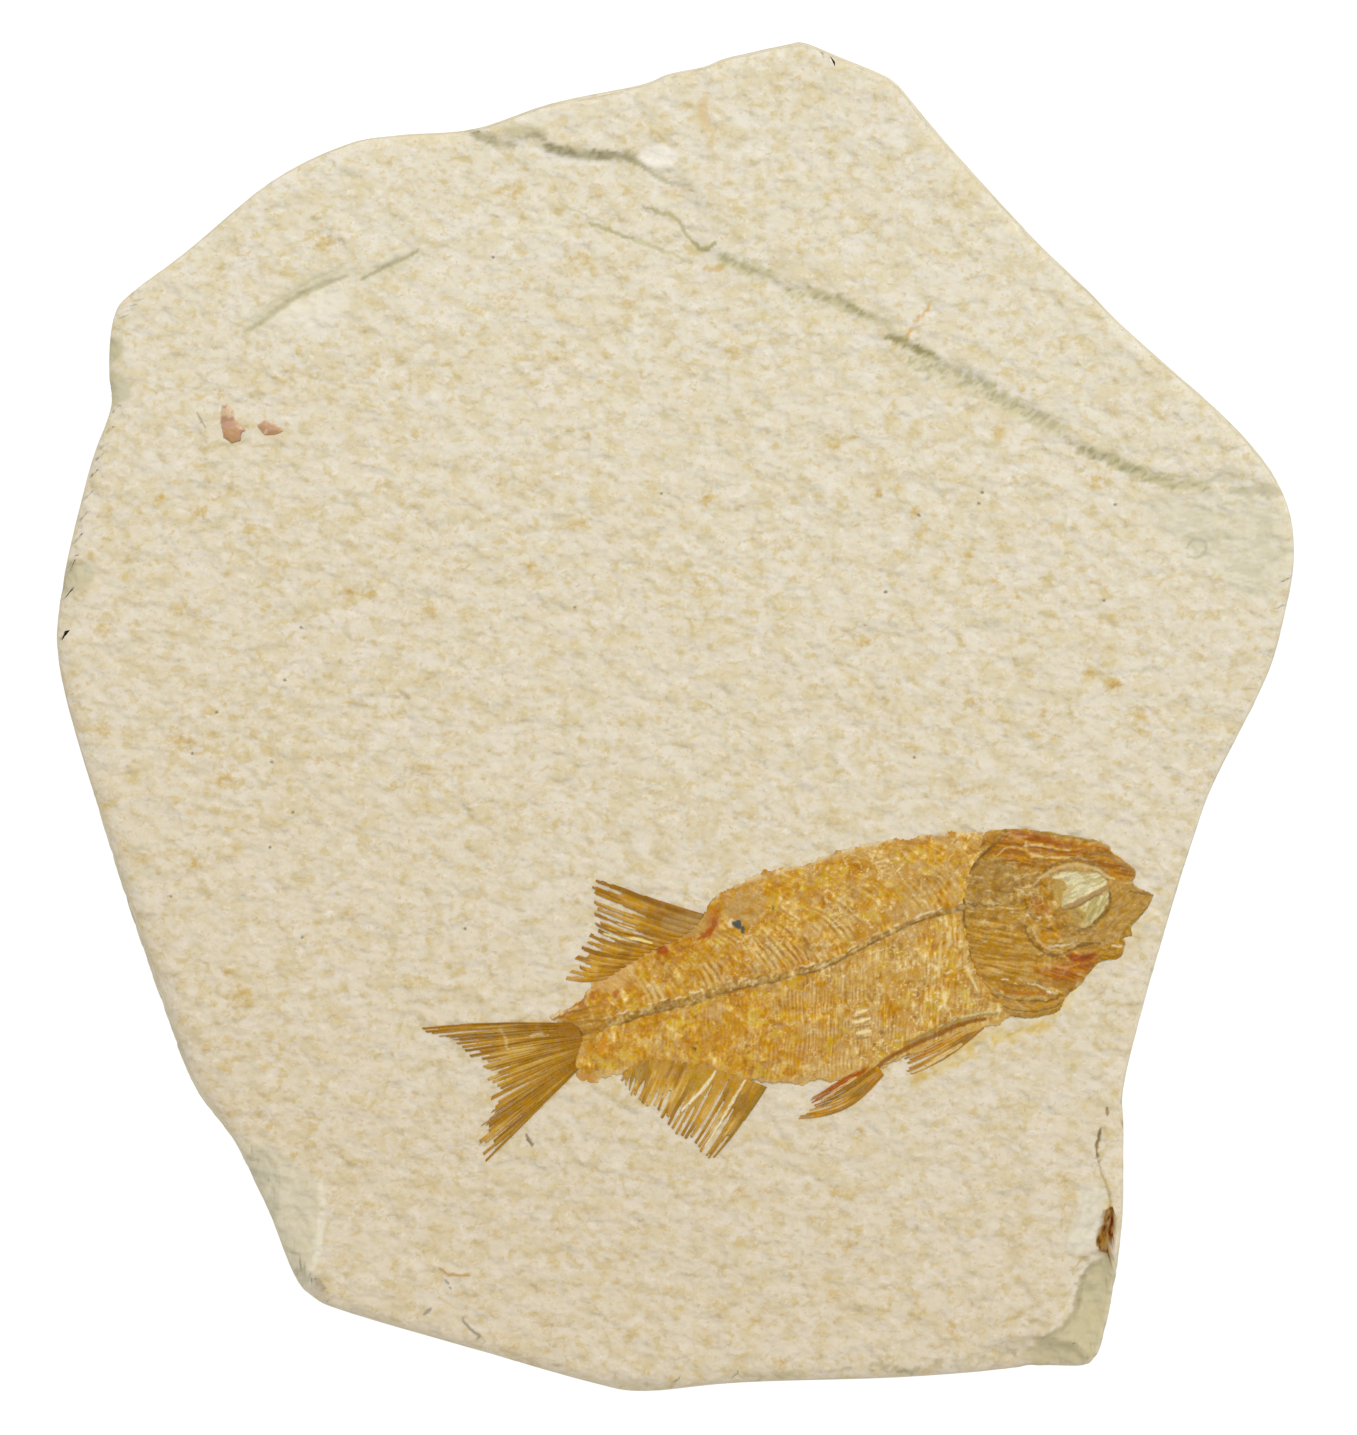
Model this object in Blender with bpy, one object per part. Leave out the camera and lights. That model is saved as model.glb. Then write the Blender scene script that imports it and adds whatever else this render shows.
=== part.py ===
# A split slab of pale limestone with a fossil fish and two chips of bone in it.
# It lies on its flat back face with the fish side up. The origin is under its
# middle, +X runs along the fish towards the head, and +Y towards the fish's back.
# Everything is shaped in millimetres and turned to metres at the end.

import math

import bmesh
import bpy
from mathutils import Matrix, Vector, noise

MM = 0.001
TOUCHING = 0.001         # points closer than this are one
FLAT = 0.002             # faces at less than this angle, in radians, are one

# Slab
THICKNESS = 10.0         # back face to the bedding face with the fish
LAYER = 0.8              # height of the bedding layer left at the upper right
SLAB_CELL = 9.0          # size of the facets on the faces
SLAB_RINGS = (2.0, 4.5, 7.0, 9.0)   # heights of the breaks along the sides
SLAB_ROUGH = 0.26        # how far a facet's corner stands off the face
SLAB_WAVES = ((7.7, 1.0), (3.2, 0.6))   # sizes of the unevenness, and their shares
BACK_SETBACK = 1.3       # how far the back edge is broken away
BACK_BREAK = 2.4         # height of that break
TOP_SETBACK = 0.8        # how far the top edge is broken away all round
SIDE_ROUGH = 1.9         # how far one layer may be broken back behind another
SIDE_WAVE = 9.0          # length of those breaks along the side
SIDE_LAYER = 1.3         # thickness of the layers
SETBACK_REACH = 9.0      # how far in from the edge the setback is felt
TOP_BREAK = 4.5          # height at which the sides start to lean in
# More setback of the top edge: direction in degrees, width in degrees, mm
SETBACK_PLACES = ((208, 26, 1.9), (268, 26, 0.9))

# Broken outline of the slab, clockwise from the top
SLAB_OUTLINE = (
    (17.4, 91.4), (27.3, 86.7), (35.4, 77.5), (41.5, 71.1), (50.2, 62.2), (61.0, 52.2),
    (75.8, 38.8), (81.8, 30.3), (83.3, 22.2), (81.8, 12.9), (79.1, 4.4), (72.5, -8.6),
    (69.7, -16.2), (65.7, -29.2), (60.6, -48.0), (60.3, -55.5), (59.8, -66.9),
    (58.3, -77.0), (56.8, -84.8), (54.3, -87.0), (47.5, -87.4), (30.0, -89.1),
    (8.5, -90.2), (-4.3, -91.4), (-11.7, -90.2), (-27.9, -85.5), (-44.0, -80.8),
    (-49.4, -78.6), (-52.2, -75.2), (-55.9, -66.2), (-60.8, -56.8), (-66.2, -49.0),
    (-72.5, -31.9), (-77.9, -15.1), (-83.3, 5.1), (-83.4, 15.9), (-79.7, 32.7),
    (-76.3, 40.5), (-77.0, 48.0), (-75.6, 56.0), (-66.2, 63.0), (-54.8, 72.4),
    (-44.7, 77.4), (-37.3, 78.7), (-27.6, 79.5), (-17.0, 83.0), (-5.0, 85.9), (5.5, 88.6),
)

BEYOND = 110.0           # clear of the slab on every side

# Foot of the step up to the layer at the upper right
STEP_LINE = (
    (-30.0, 82.5), (-23.8, 77.6), (-18.4, 77.7), (-13.1, 76.2), (-5.0, 74.9), (-1.2, 72.1),
    (0.7, 66.4), (4.7, 61.4), (10.5, 59.8), (15.2, 57.5), (21.3, 56.3), (28.0, 51.8),
    (34.1, 49.0), (41.5, 43.5), (49.5, 38.6), (54.5, 35.2), (59.6, 35.0), (65.0, 31.8),
    (74.4, 30.2), (86.0, 28.6),
)

# Scraped groove at the upper left
GROOVE_LINE = ((-60.5, 51.0), (-55.1, 54.6), (-50.7, 57.0), (-44.0, 60.1), (-36.0, 62.4),
               (-30.5, 62.6))
GROOVE_RADIUS = 1.0
GROOVE_DEPTH = 0.55

# Chips knocked out of the edges: x, y, z, then the radii of the scoop
SCOOPS = (
    (24.0, 90.5, 15.6, 11.0, 6.0, 5.2),
    (46.6, 67.0, 12.2, 4.6, 2.6, 2.3),
    (-82.4, 18.0, 9.6, 2.6, 3.6, 2.2),
    (-79.0, 44.4, 9.0, 4.0, 3.0, 4.0),
    (-56.5, -66.0, 10.4, 4.4, 8.4, 3.4),
    (-51.0, -79.0, 9.6, 5.0, 5.0, 4.2),
    (56.5, -79.0, 11.2, 4.6, 8.2, 3.2),
    (48.0, -87.6, 11.0, 9.0, 4.6, 3.2),
    (60.6, -60.0, 11.6, 2.8, 8.0, 2.6),
    (84.0, 24.0, 13.0, 7.0, 7.0, 2.9),
    (-6.0, -92.4, 10.6, 9.0, 3.4, 2.8),
    (-24.0, -88.2, 10.4, 8.0, 2.6, 2.2),
    (-77.0, 58.0, 11.0, 6.0, 5.0, 2.6),
    (-2.4, 76.0, 11.2, 3.2, 2.0, 1.0),
)

# Fish, in its own frame: the tail's root at the origin and the head towards +X
FISH_PLACE = (-11.7, -42.0)
FISH_TURN = 13.5
FISH_LOW = 9.25          # under side of the bone film
FISH_TOP = 10.35         # top of the body
FISH_CELL = 9.0
FISH_ROUGH = 0.1
FISH_WAVE = 4.3
FISH_RIM = 0.5           # width of the slope round the body's top
SPINE_LOW = 10.0
SPINE_TOP = 10.62
RIB_TOP = 10.6
FIN_LOW = 9.3
FIN_TOP = 10.28
RAGGED = 0.1             # how much of a ray's length may be missing at its tip
BAND_POINTS = 7          # points along the strip that a row of rays grows from

FISH_OUTLINE = (
    (-4.9, 1.9), (-2.1, 3.0), (1.6, 3.8), (5.2, 5.4), (8.7, 7.3), (12.4, 8.4), (17.0, 9.8),
    (19.2, 12.2), (21.6, 13.8), (25.0, 14.7), (31.3, 14.9), (36.9, 15.4), (41.5, 15.6),
    (45.9, 15.4), (49.5, 15.0), (53.3, 14.5), (60.4, 13.4), (65.4, 11.8), (68.6, 10.4),
    (72.5, 8.7), (74.0, 7.4),
    (76.3, 3.6), (75.9, 1.5), (77.9, 0.0), (76.6, -1.6), (73.9, -3.3), (72.6, -4.6),
    (72.5, -6.4), (71.0, -7.4), (68.9, -7.1), (67.1, -8.0), (65.6, -9.3), (63.5, -10.6),
    (61.4, -12.1), (58.0, -12.0), (52.7, -11.2), (45.5, -12.3), (38.0, -13.9),
    (30.5, -14.2), (25.8, -13.5), (21.2, -12.5), (15.5, -9.9), (10.7, -7.5), (6.1, -6.4),
    (-0.2, -6.5), (-3.5, -5.0), (-5.2, -2.0), (-5.3, 0.3),
)
BACKBONE = ((-1.5, 0.0), (7.1, 0.7), (14.0, 0.8), (21.0, 1.2), (29.3, 1.0), (35.0, 1.6),
            (40.9, 3.1), (46.6, 4.1), (52.4, 4.4))
VERTEBRAE = 36
VERTEBRA_RADIUS = 0.62
VERTEBRA_WAIST = 0.4

# Rows of rays: roots, tips, number of rays, share of their length that is joined,
# share of the room at the tips that they fill, under side and top
RAYS = {
    "dorsal_fin": (((18.6, 11.2), (11.8, 7.9), (3.6, 4.4)),
                   ((5.8, 20.2), (4.4, 19.0), (3.4, 16.6), (3.0, 13.4), (1.2, 11.2),
                    (-0.6, 9.4), (-2.0, 7.2)),
                   15, 0.4, 0.55, FIN_LOW, FIN_TOP),
    "tail_fin": (((-4.6, 1.6), (-2.4, -0.2), (-3.0, -3.9)),
                 ((-22.6, 6.0), (-20.6, 3.8), (-17.4, 1.4), (-15.6, -0.9), (-14.9, -3.2),
                  (-15.2, -6.0), (-16.8, -9.0), (-18.4, -11.6), (-18.6, -14.4)),
                 24, 0.55, 0.6, FIN_LOW, FIN_TOP),
    "anal_fin": (((20.8, -12.0), (15.0, -9.1), (9.4, -6.6), (2.4, -6.0)),
                 ((21.0, -13.2), (18.3, -16.8), (15.3, -18.7), (12.4, -20.7), (9.8, -18.9),
                  (7.1, -16.1), (3.9, -11.6), (2.5, -7.4)),
                 25, 0.35, 0.6, FIN_LOW, FIN_TOP),
    "pelvic_fin": (((38.0, -13.9), (35.6, -13.6), (33.4, -13.4)),
                   ((24.4, -18.4), (26.4, -17.4), (28.8, -15.2)),
                   6, 0.6, 0.7, FIN_LOW, FIN_TOP),
    "pectoral_fin": (((53.4, -11.6), (53.0, -10.8), (52.6, -9.6)),
                     ((40.2, -15.0), (37.2, -14.4), (35.4, -13.2)),
                     7, 0.75, 0.8, FIN_LOW, SPINE_TOP),
    "neural_spines": (((51.6, 4.2), (46.0, 3.8), (35.0, 1.4), (20.0, 1.0), (4.0, 0.2)),
                      ((50.4, 12.9), (41.5, 13.9), (28.0, 13.5), (20.5, 11.6), (12.0, 7.2),
                       (4.0, 4.3), (0.2, 2.9)),
                      34, 0.1, 0.42, SPINE_LOW, SPINE_TOP),
    "ribs": (((51.6, 4.6), (46.0, 4.2), (35.0, 1.8), (20.0, 1.4), (4.0, 0.6)),
             ((50.6, -9.6), (44.0, -11.4), (36.0, -12.9), (27.0, -12.4), (19.0, -10.3),
              (9.0, -6.3), (0.2, -5.4)),
             34, 0.1, 0.42, SPINE_LOW, RIB_TOP),
}

# Plates of the head: outline and top
PLATE_LOW = 9.9
HEAD_PLATES = {
    "operculum": (((53.2, 5.0), (55.6, 9.2), (58.6, 8.2), (60.2, 4.0), (59.8, -1.0),
                   (60.4, -4.2), (59.6, -6.4), (56.2, -6.6), (53.8, -5.0), (52.9, -1.0)),
                  10.75),
    "cheek": (((60.6, -5.2), (63.4, -4.6), (68.4, -5.2), (67.4, -7.2), (64.8, -8.8),
               (61.6, -7.4)), 10.72),
    "skull_roof": (((60.0, 12.4), (64.2, 11.0), (68.0, 9.4), (72.0, 7.6), (71.6, 6.6),
                    (67.8, 7.9), (63.6, 8.8), (60.4, 9.0)), 10.78),
    "snout": (((73.6, 5.6), (75.6, 3.4), (75.2, 1.4), (76.8, 0.0), (74.4, -2.2),
               (73.2, 0.6), (73.4, 3.0)), 10.7),
}

# Strands of bone on the head and belly: line and radius
STRANDS = {
    "cleithrum": (((59.8, 12.6), (56.6, 10.2), (53.4, 7.2), (52.6, 3.4), (52.5, -2.6),
                   (53.4, -6.6), (55.4, -9.6)), 0.42),
    "preopercle": (((60.6, 5.2), (61.0, 1.0), (61.4, -2.2), (62.6, -3.9), (66.0, -5.1),
                    (70.6, -5.2)), 0.36),
    "orbit_ring": (((66.7, -1.4), (64.7, 1.2), (63.8, 4.2), (65.6, 6.7), (68.4, 7.0),
                    (71.4, 5.5), (73.0, 3.0)), 0.34),
    "maxilla": (((74.6, 1.4), (72.4, -0.2), (70.2, -1.9), (68.0, -3.6)), 0.4),
    "lower_jaw": (((72.0, -6.3), (69.2, -6.3), (66.8, -7.4), (64.6, -9.0)), 0.4),
    "orbit_bar": (((72.8, 3.1), (69.6, 2.3), (66.4, 0.6)), 0.34),
    "gill_ray_upper": (((54.6, -8.0), (57.4, -8.9), (60.4, -9.6), (63.0, -9.6)), 0.3),
    "gill_ray_lower": (((54.6, -9.6), (57.4, -10.6), (60.2, -11.1), (62.2, -10.9)), 0.3),
    "pectoral_edge": (((52.9, -10.5), (48.0, -11.0), (43.6, -11.9), (38.8, -12.9),
                       (36.4, -13.8), (33.8, -15.0)), 0.4),
}
STRAND_RISE = 0.06       # how far a strand's middle stands over the body's top
ORBIT = ((64.8, 3.4), (66.0, 5.6), (68.8, 5.8), (71.2, 4.4), (72.3, 2.6), (71.4, 0.4),
         (69.8, -1.2), (68.0, -1.8), (66.6, -0.2), (65.4, 1.6))
ORBIT_FLOOR = 10.08

# The pocket that the fish lies in
ABOVE = 14.0             # height that cutters reach, over everything
GAP = 0.35
POCKET_FLOOR = FISH_LOW - GAP
POCKET_CLEAR = 0.45      # room round the fish's outline
TAIL_POCKET = ((-2.0, 3.6), (-22.8, 7.0), (-23.6, 6.0), (-15.6, -3.4), (-19.0, -10.6),
               (-19.6, -14.8), (-18.4, -15.6), (-8.0, -8.8), (-2.0, -6.0))
DORSAL_POCKET = ((20.4, 12.4), (6.2, 21.2), (4.6, 20.4), (2.2, 15.6), (-3.0, 7.6),
                 (-2.2, 6.4), (4.0, 3.4), (14.0, 6.0))
ANAL_POCKET = ((2.0, -5.2), (1.6, -7.4), (3.0, -12.0), (6.6, -17.0), (12.2, -21.8),
               (15.8, -19.6), (22.0, -13.4), (20.0, -10.0), (9.0, -4.6))
PELVIC_POCKET = ((39.0, -13.0), (28.8, -13.6), (23.2, -18.4), (24.0, -19.4),
                 (29.6, -18.2), (41.0, -15.8), (48.0, -14.0), (54.8, -11.8), (52.0, -9.0))

# Chips of bone: centre, then the outline round it
CHIP_LOW = 9.5
CHIP_TOP = 10.4
CHIP_RIM = 0.3
CHIP_CLEAR = 0.35
CHIPS = {
    "bone_chip_left": ((-60.0, 39.6), ((-1.2, 2.5), (0.0, 2.5), (0.6, 0.5), (2.0, -0.8),
                                       (1.3, -2.3), (0.1, -2.6), (-1.0, -1.8), (-1.5, 0.2))),
    "bone_chip_right": ((-54.9, 39.1), ((-1.6, 0.4), (-0.7, 1.1), (0.1, 0.7), (2.0, -0.5),
                                        (0.8, -1.0), (-0.6, -1.0))),
}

# Finishes: name, linear colour, roughness
STONE = ("split limestone", (0.73, 0.64, 0.46), 0.9)
BONE_FILM = ("brown bone film", (0.54, 0.31, 0.07), 0.6)
BONE = ("pink bone", (0.55, 0.32, 0.22), 0.55)


def start_scene():
    # Empties the scene and makes a collection for the parts and one for the cutters.
    for old in list(bpy.data.objects):
        bpy.data.objects.remove(old)
    for name in ("fossil_fish_slab", "cutters"):
        bpy.context.scene.collection.children.link(bpy.data.collections.new(name))


def smooth(points, steps, closed=False):
    # Points of a smooth curve that runs through the given ones.
    knots = [Vector(point) for point in points]
    if closed:
        knots = [knots[-1], *knots, knots[0], knots[1]]
    else:
        knots = [knots[0] * 2 - knots[1], *knots, knots[-1] * 2 - knots[-2]]
    line = []
    for before, start, end, after in zip(knots, knots[1:], knots[2:], knots[3:]):
        for step in range(steps):
            t = step / steps
            bend = 2 * before - 5 * start + 4 * end - after
            turn = 3 * start - before - 3 * end + after
            line.append((2 * start + (end - before) * t + bend * t**2 + turn * t**3) / 2)
    if not closed:
        line.append(knots[-2])
    return line


def along(line, share):
    # The point at a share of a line's length, from 0 at its start to 1 at its end.
    spans = [(end - start).length for start, end in zip(line, line[1:])]
    left = share * sum(spans)
    for start, end, span in zip(line, line[1:], spans):
        if left <= span:
            return start.lerp(end, left / span)
        left -= span
    return line[-1].copy()


def mesh_object(name, mesh, collection):
    obj = bpy.data.objects.new(name, mesh)
    bpy.data.collections[collection].objects.link(obj)
    if collection == "cutters":
        obj.hide_render = True
        obj.display_type = "WIRE"
    return obj


def from_curve(name, curve, height, collection):
    # Turns a curve to a closed mesh at a height above the back face.
    holder = bpy.data.objects.new(name, curve)
    bpy.context.scene.collection.objects.link(holder)
    graph = bpy.context.evaluated_depsgraph_get()
    mesh = bpy.data.meshes.new_from_object(holder.evaluated_get(graph))
    bpy.data.objects.remove(holder)
    bm = bmesh.new()
    bm.from_mesh(mesh)
    bmesh.ops.remove_doubles(bm, verts=bm.verts, dist=TOUCHING)
    bmesh.ops.translate(bm, verts=bm.verts, vec=(0, 0, height))
    bmesh.ops.recalc_face_normals(bm, faces=bm.faces)
    bm.to_mesh(mesh)
    bm.free()
    return mesh_object(name, mesh, collection)


def plate(name, outline, low, high, collection="cutters"):
    # A flat outline with a thickness.
    curve = bpy.data.curves.new(name, "CURVE")
    curve.dimensions = "2D"
    curve.fill_mode = "BOTH"
    curve.extrude = (high - low) / 2
    spline = curve.splines.new("POLY")
    spline.points.add(len(outline) - 1)
    for point, place in zip(spline.points, outline):
        point.co = (place[0], place[1], 0, 1)
    spline.use_cyclic_u = True
    return from_curve(name, curve, (low + high) / 2, collection)


def strand(name, line, radii, height):
    # A round bar along a line, with a radius for each of its points.
    curve = bpy.data.curves.new(name, "CURVE")
    curve.dimensions = "3D"
    curve.bevel_depth = 1
    curve.bevel_resolution = 1
    curve.use_fill_caps = True
    spline = curve.splines.new("POLY")
    spline.points.add(len(line) - 1)
    for point, place, radius in zip(spline.points, line, radii):
        point.co = (place[0], place[1], 0, 1)
        point.radius = radius
    return from_curve(name, curve, height, "cutters")


def combine(target, other, operation):
    # Joins another solid to the target or cuts it out, and then removes it.
    modifier = target.modifiers.new(other.name, "BOOLEAN")
    modifier.operation = operation
    modifier.object = other
    graph = bpy.context.evaluated_depsgraph_get()
    mesh = bpy.data.meshes.new_from_object(target.evaluated_get(graph))
    target.modifiers.clear()
    target.data = mesh
    bpy.data.objects.remove(other)
    bm = bmesh.new()
    bm.from_mesh(mesh)
    bmesh.ops.dissolve_degenerate(bm, edges=bm.edges, dist=TOUCHING)
    bmesh.ops.dissolve_limit(bm, angle_limit=FLAT, verts=bm.verts, edges=bm.edges)
    bm.to_mesh(mesh)
    bm.free()


def cut_cells(bm, cell, heights=()):
    # Cuts a mesh along evenly spaced planes, and at the given heights.
    low = [min(vert.co[axis] for vert in bm.verts) for axis in range(2)]
    high = [max(vert.co[axis] for vert in bm.verts) for axis in range(2)]
    planes = [((0, 0, height), (0, 0, 1)) for height in heights]
    for axis, normal in enumerate(((1, 0, 0), (0, 1, 0))):
        count = round((high[axis] - low[axis]) / cell)
        for index in range(1, count):
            place = low[axis] + (high[axis] - low[axis]) * index / count
            planes.append((Vector(normal) * place, normal))
    for place, normal in planes:
        geometry = bm.verts[:] + bm.edges[:] + bm.faces[:]
        bmesh.ops.bisect_plane(bm, geom=geometry, dist=TOUCHING, plane_co=place,
                               plane_no=normal)


def unevenness(place, size, layer):
    # A smooth value from -1 to 1 that changes over about the given size.
    return noise.noise(Vector((place.x / size, place.y / size, layer)))


def to_edge(place, outline):
    # Distance from the outline, and the direction that leads away from it.
    nearest = None
    for start, end in zip(outline, outline[1:] + outline[:1]):
        span = end - start
        share = max(0, min(1, (place - start).dot(span) / span.length_squared))
        distance = (place - start - span * share).length
        if nearest is None or distance < nearest[0]:
            nearest = (distance, Vector((span.y, -span.x)).normalized())
    return nearest


def setback(place, height, thickness):
    # How far the side has been broken away at a height, where the slab leans.
    side = SIDE_ROUGH * max(0, unevenness(place, SIDE_WAVE, height / SIDE_LAYER))
    back = BACK_SETBACK * max(0, 1 - height / BACK_BREAK)
    angle = math.degrees(math.atan2(place.y, place.x))
    lean = TOP_SETBACK
    for middle, width, extra in SETBACK_PLACES:
        turn = (angle - middle + 180) % 360 - 180
        lean += extra * math.exp(-(turn / width) ** 2)
    rise = max(0, (height - TOP_BREAK) / (thickness - TOP_BREAK))
    return side + back + lean * rise


def break_slab(slab, outline):
    # Leans and roughens the sides and roughens the top. The back stays flat.
    bm = bmesh.new()
    bm.from_mesh(slab.data)
    cut_cells(bm, SLAB_CELL, SLAB_RINGS)
    for vert in bm.verts:
        place = vert.co.xy
        distance, inward = to_edge(place, outline)
        share = max(0, 1 - distance / SETBACK_REACH)
        vert.co.xy += inward * share * setback(place, vert.co.z, THICKNESS + LAYER)
        if vert.co.z > TOP_BREAK:
            bump = sum(part * unevenness(place, size, size) for size, part in SLAB_WAVES)
            vert.co.z += SLAB_ROUGH * bump * (vert.co.z - TOP_BREAK) / (THICKNESS - TOP_BREAK)
    back = [vert for vert in bm.verts if vert.co.z < TOUCHING]
    edges = [edge for edge in bm.edges if all(vert.co.z < TOUCHING for vert in edge.verts)]
    bmesh.ops.dissolve_limit(bm, angle_limit=FLAT, verts=back, edges=edges)
    bmesh.ops.triangulate(bm, faces=bm.faces)
    bm.to_mesh(slab.data)
    bm.free()


def scoop(index, x, y, z, radii):
    # An egg-shaped cutter, which leaves the hollow of a knocked-off chip.
    bm = bmesh.new()
    bmesh.ops.create_icosphere(bm, subdivisions=2, radius=1)
    bmesh.ops.scale(bm, verts=bm.verts, vec=radii)
    bmesh.ops.translate(bm, verts=bm.verts, vec=(x, y, z))
    mesh = bpy.data.meshes.new(f"scoop_{index}")
    bm.to_mesh(mesh)
    bm.free()
    return mesh_object(mesh.name, mesh, "cutters")


def make_slab():
    outline = smooth(SLAB_OUTLINE, 2, closed=True)
    slab = plate("slab", outline, 0, THICKNESS + LAYER, "fossil_fish_slab")
    step = smooth(STEP_LINE, 2)
    corners = ((BEYOND, -BEYOND), (-BEYOND, -BEYOND), (-BEYOND, BEYOND))
    combine(slab, plate("below_step", [*step, *corners], THICKNESS, ABOVE), "DIFFERENCE")
    groove = smooth(GROOVE_LINE, 2)
    last = len(groove) - 1
    radii = [GROOVE_RADIUS * (0.35 + 0.65 * math.sin(math.pi * i / last))
             for i in range(len(groove))]
    height = THICKNESS + GROOVE_RADIUS - GROOVE_DEPTH
    combine(slab, strand("groove", groove, radii, height), "DIFFERENCE")
    for index, (x, y, z, *radii) in enumerate(SCOOPS):
        combine(slab, scoop(index, x, y, z, radii), "DIFFERENCE")
    break_slab(slab, outline)
    return slab


def ray_outline(roots, tips, rays, joined, width):
    # Outline of a row of rays that grow from one strip and part further out.
    roots, tips = smooth(roots, 4), smooth(tips, 4)
    outline = [along(roots, i / BAND_POINTS) for i in range(BAND_POINTS, -1, -1)]
    for ray in range(rays):
        missing = RAGGED * abs(noise.noise(Vector((ray * 0.77, rays, 0.5))))
        for side in (-0.5, 0.5):
            share = (ray + 0.5 + side * width) / rays
            outline.append(along(tips, share).lerp(along(roots, share), missing))
        if ray < rays - 1:
            share = (ray + 1) / rays
            outline.append(along(roots, share).lerp(along(tips, share), joined))
    return outline


def round_rim(obj, height, width):
    # Slopes the rim of a plate's top face.
    bm = bmesh.new()
    bm.from_mesh(obj.data)
    bmesh.ops.dissolve_limit(bm, angle_limit=FLAT, verts=bm.verts, edges=bm.edges)
    rim = [edge for edge in bm.edges
           if all(abs(vert.co.z - height) < TOUCHING for vert in edge.verts)]
    bmesh.ops.bevel(bm, geom=rim, offset=width, offset_type="OFFSET", segments=1,
                    profile=0.5, affect="EDGES", clamp_overlap=True, material=-1)
    bm.to_mesh(obj.data)
    bm.free()


def roughen_body(body):
    bm = bmesh.new()
    bm.from_mesh(body.data)
    cut_cells(bm, FISH_CELL)
    for vert in bm.verts:
        if vert.co.z > FISH_TOP - TOUCHING:
            vert.co.z += FISH_ROUGH * unevenness(vert.co, FISH_WAVE, 0)
    bmesh.ops.triangulate(bm, faces=bm.faces)
    bm.to_mesh(body.data)
    bm.free()


def make_fish():
    # The body, with the fins, ribs, vertebrae and head bones joined to it.
    fish = plate("fish", FISH_OUTLINE, FISH_LOW, FISH_TOP, "fossil_fish_slab")
    round_rim(fish, FISH_TOP, FISH_RIM)
    roughen_body(fish)
    combine(fish, plate("orbit", ORBIT, ORBIT_FLOOR, ABOVE), "DIFFERENCE")
    for name, (line, tips, rays, joined, width, low, high) in RAYS.items():
        row = plate(name, ray_outline(line, tips, rays, joined, width), low, high)
        combine(fish, row, "UNION")
    for name, (corners, high) in HEAD_PLATES.items():
        bone = plate(name, smooth(corners, 2, closed=True), PLATE_LOW, high)
        combine(fish, bone, "UNION")
    backbone = smooth(BACKBONE, 4)
    beads = [along(backbone, i / (2 * VERTEBRAE)) for i in range(2 * VERTEBRAE + 1)]
    radii = [VERTEBRA_RADIUS if i % 2 else VERTEBRA_WAIST for i in range(len(beads))]
    combine(fish, strand("vertebrae", beads, radii, FISH_TOP), "UNION")
    for name, (line, radius) in STRANDS.items():
        points = smooth(line, 2)
        bar = strand(name, points, [radius] * len(points), FISH_TOP + STRAND_RISE)
        combine(fish, bar, "UNION")
    place_fish(fish)
    return fish


def place_fish(obj):
    obj.location = (*FISH_PLACE, 0)
    obj.rotation_euler = (0, 0, math.radians(FISH_TURN))


def grown(outline, clear):
    # An outline moved outwards by the same distance all round.
    turned = sum(a.x * b.y - b.x * a.y for a, b in zip(outline, outline[1:] + outline[:1]))
    side = 1 if turned > 0 else -1
    moved = []
    for before, point, after in zip(outline[-1:] + outline, outline, outline[1:] + outline[:1]):
        first = (point - before).normalized()
        second = (after - point).normalized()
        normal = Vector((first.y + second.y, -first.x - second.x)).normalized()
        moved.append(point + normal * side * clear)
    return moved


def cut_pockets(slab):
    # Cuts the shallow pockets that the fish and the bone chips lie in.
    outlines = {"body": grown([Vector(point) for point in FISH_OUTLINE], POCKET_CLEAR),
                "tail": TAIL_POCKET, "dorsal": DORSAL_POCKET, "anal": ANAL_POCKET,
                "pelvic": PELVIC_POCKET}
    for name, outline in outlines.items():
        pocket = plate(name, outline, POCKET_FLOOR, ABOVE)
        place_fish(pocket)
        combine(slab, pocket, "DIFFERENCE")
    for name, (centre, corners) in CHIPS.items():
        outline = grown([Vector(centre) + Vector(corner) for corner in corners], CHIP_CLEAR)
        pocket = plate(name + "_pocket", outline, CHIP_LOW - GAP, ABOVE)
        combine(slab, pocket, "DIFFERENCE")


def make_chip(name, centre, corners):
    outline = [Vector(centre) + Vector(corner) for corner in corners]
    chip = plate(name, outline, CHIP_LOW, CHIP_TOP, "fossil_fish_slab")
    round_rim(chip, CHIP_TOP, CHIP_RIM)
    return chip


def dress(obj, finish):
    # Gives a part its material and turns it from millimetres to metres.
    name, colour, roughness = finish
    material = bpy.data.materials.new(name)
    material.use_nodes = True
    shader = material.node_tree.nodes["Principled BSDF"]
    shader.inputs["Base Color"].default_value = (*colour, 1)
    shader.inputs["Roughness"].default_value = roughness
    shader.inputs["Metallic"].default_value = 0
    obj.data.materials.clear()
    obj.data.materials.append(material)
    obj.data.transform(Matrix.Scale(MM, 4))
    obj.location *= MM


def main():
    start_scene()
    slab = make_slab()
    cut_pockets(slab)
    fish = make_fish()
    dress(slab, STONE)
    dress(fish, BONE_FILM)
    for name, (centre, corners) in CHIPS.items():
        dress(make_chip(name, centre, corners), BONE)


main()
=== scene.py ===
# A fossil fish and two chips of bone on a split slab of pale limestone.
# The slab lies on its back face and the camera looks straight down on it.
import math

import bmesh
import bpy
import numpy as np
from mathutils import Matrix, Vector


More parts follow.
